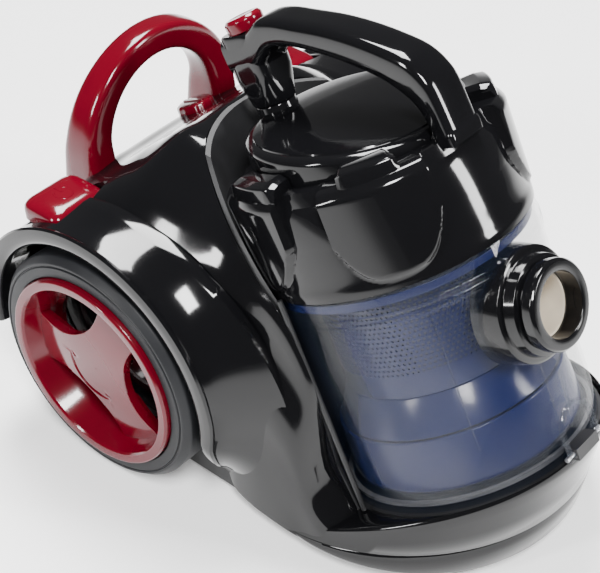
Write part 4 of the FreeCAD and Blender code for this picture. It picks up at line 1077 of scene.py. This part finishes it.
def hand_loop():
    """Clear pull loop with its two eyes."""
    bottom, radius, rise, wire = 4.5, 14.5, 14.0, 2.2
    path = [(radius, bottom), (radius, bottom + rise * 0.5)]
    path += [(radius * math.cos(math.radians(d)), bottom + rise + radius * math.sin(
        math.radians(d))) for d in range(0, 181, 10)]
    path += [(-radius, bottom + rise * 0.5), (-radius, bottom)]
    rows = []
    count = len(path)
    for index, (x, z) in enumerate(path):
        before = Vector(path[max(0, index - 1)])
        after = Vector(path[min(count - 1, index + 1)])
        along = (after - before).normalized()
        across = Vector((along.y, -along.x))
        ring = []
        for step in range(12):
            turn = math.tau * step / 12
            ring.append((x + across.x * wire * math.cos(turn), LOOP_Y + wire * math.sin(turn),
                         z + across.y * wire * math.cos(turn)))
        rows.append(ring)
    verts, faces = sheet_of(rows, loop=True, ends=True)
    loop = piece("pull_loop", verts, faces, "flap_ring", "clear_tint", place=BIN,
                 stands_for=("latch_ring",))
    made = [loop]
    for side in (-1, 1):
        eye = rounded([(1.56, -2.5, 0.2), (3.5, -2.5, 0.6), (3.5, 2.5, 0.6), (1.56, 2.5, 0.2)], 2)
        rows = []
        for step in range(32):
            angle = math.tau * step / 32
            rows.append([(side * radius + along, LOOP_Y + r * math.cos(angle),
                          bottom + r * math.sin(angle)) for r, along in eye])
        verts, faces = sheet_of(rows, loop=True, wrap=True)
        made.append(piece(f"pull_eye_{SIDE_NAMES[side]}", verts, faces, "flap_ring",
                          "clear_tint", place=BIN))
    return made


def filter_core():
    verts, faces = lathe([(30.2, 66.6, 1), (49.8, 66.6, 1), (49.8, 176.5, 1), (30.2, 176.5, 1)],
                         144)
    return piece("filter_pleats", verts, faces, "bin", "filter_white", place=BIN,
                 finish=PLEATS, stands_for=("cartridge_filter",), own_axes=True)


# ---------------------------------------------------------------- carried-over pieces

def dress_nodes():
    """Gives every remaining node its finish and a fine edge break."""
    wanted = {entry["node"]: entry["material_slot"] for entry in record["subparts"]}
    for name, thing in frame["nodes"].items():
        thing.data.materials.clear()
        thing.data.materials.append(FINISHES[wanted[name]])
        if not any(word in name for word in ("spring", "seal", "filter")):
            edge = thing.modifiers.new("edge_break", "BEVEL")
            edge.width = 0.0004
            edge.segments = 2
            edge.limit_method = "ANGLE"
            edge.angle_limit = math.radians(40)


def marks():
    """Three growing pale squares printed beside the knob."""
    line_y = -18
    verts, faces = joined(brick((x - half, line_y - half, 0.2), (x + half, half + line_y, 0.7))
                          for x, half in ((-10, 1.4), (-3, 2.0), (5, 2.7)))
    return piece("suction_marks", verts, faces, "chassis", "gloss_black", place=KNOB,
                 finish=PRINT)


# ---------------------------------------------------------------- studio

def studio():
    mesh = bpy.data.meshes.new("floor")
    size = 40.0
    verts, faces = sheet_of([[(-size, y, 0), (size, y, 0)] for y in (-size, size)])
    mesh.from_pydata(verts, [], faces)
    mesh.shade_smooth()
    floor = bpy.data.objects.new("studio_floor", mesh)
    bpy.context.scene.collection.objects.link(floor)
    finish = Finish("pale_floor", Roughness=0.6, IOR=1.2, Emission_Strength=0.25)
    finish.shader.inputs["Emission Color"].default_value = (1.0, 1.0, 1.0, 1.0)
    finish.feed("Base Color", finish.tint((0.80, 0.80, 0.80, 1), (0.84, 0.84, 0.84, 1),
                                          finish.noise(3.0)))
    mesh.materials.append(finish.material)

    world = bpy.data.worlds.new("studio")
    world.use_nodes = True
    bpy.context.scene.world = world
    tree = world.node_tree
    sky = tree.nodes["Background"]
    sky.inputs["Color"].default_value = (1.0, 1.0, 1.0, 1.0)
    sky.inputs["Strength"].default_value = 0.12

    def softbox(name, at, look, wide, tall, power):
        light = bpy.data.lights.new(name, "AREA")
        light.shape = "RECTANGLE"
        light.size, light.size_y = wide, tall
        light.energy = power
        made = bpy.data.objects.new(name, light)
        bpy.context.scene.collection.objects.link(made)
        made.location = at
        made.rotation_euler = (Vector(look) - Vector(at)).to_track_quat("-Z", "Y").to_euler()

    softbox("key_light", (-0.9, -0.9, 1.9), (0, 0, 0.1), 0.4, 0.6, 80)
    softbox("side_light", (-1.9, 0.6, 1.2), (0, 0, 0.1), 0.25, 0.7, 40)
    softbox("top_light", (0.6, 0.7, 2.2), (0, 0, 0.1), 0.8, 1.0, 150)
    softbox("front_light", (0.9, -1.7, 1.1), (0, 0, 0.1), 0.35, 0.9, 50)


def photographer():
    """Camera off the machine's front left, looking down on the bin."""
    data = bpy.data.cameras.new("camera")
    data.lens, data.sensor_width = 90.0, 36.0
    camera = bpy.data.objects.new("camera", data)
    bpy.context.scene.collection.objects.link(camera)
    axle = Vector((0, AXLE.y, 0))
    camera.location = Vector((-0.5869, -0.5447, 0.7348)) + axle
    target = Vector((0, -0.0558, 0.0928)) + axle
    camera.rotation_euler = (target - camera.location).to_track_quat("-Z", "Y").to_euler()
    bpy.context.scene.camera = camera


dress_nodes()
housing()
nose()
seat_lip()
for side in (-1, 1):
    fender(side)
    tyre(side)
    rim(side)
    pedal(side)
arch()
knob()
marks()
cup()
bowl()
screen()
collar()
lid()
grip()
release()
nozzle()
hand_loop()
filter_core()
studio()
photographer()
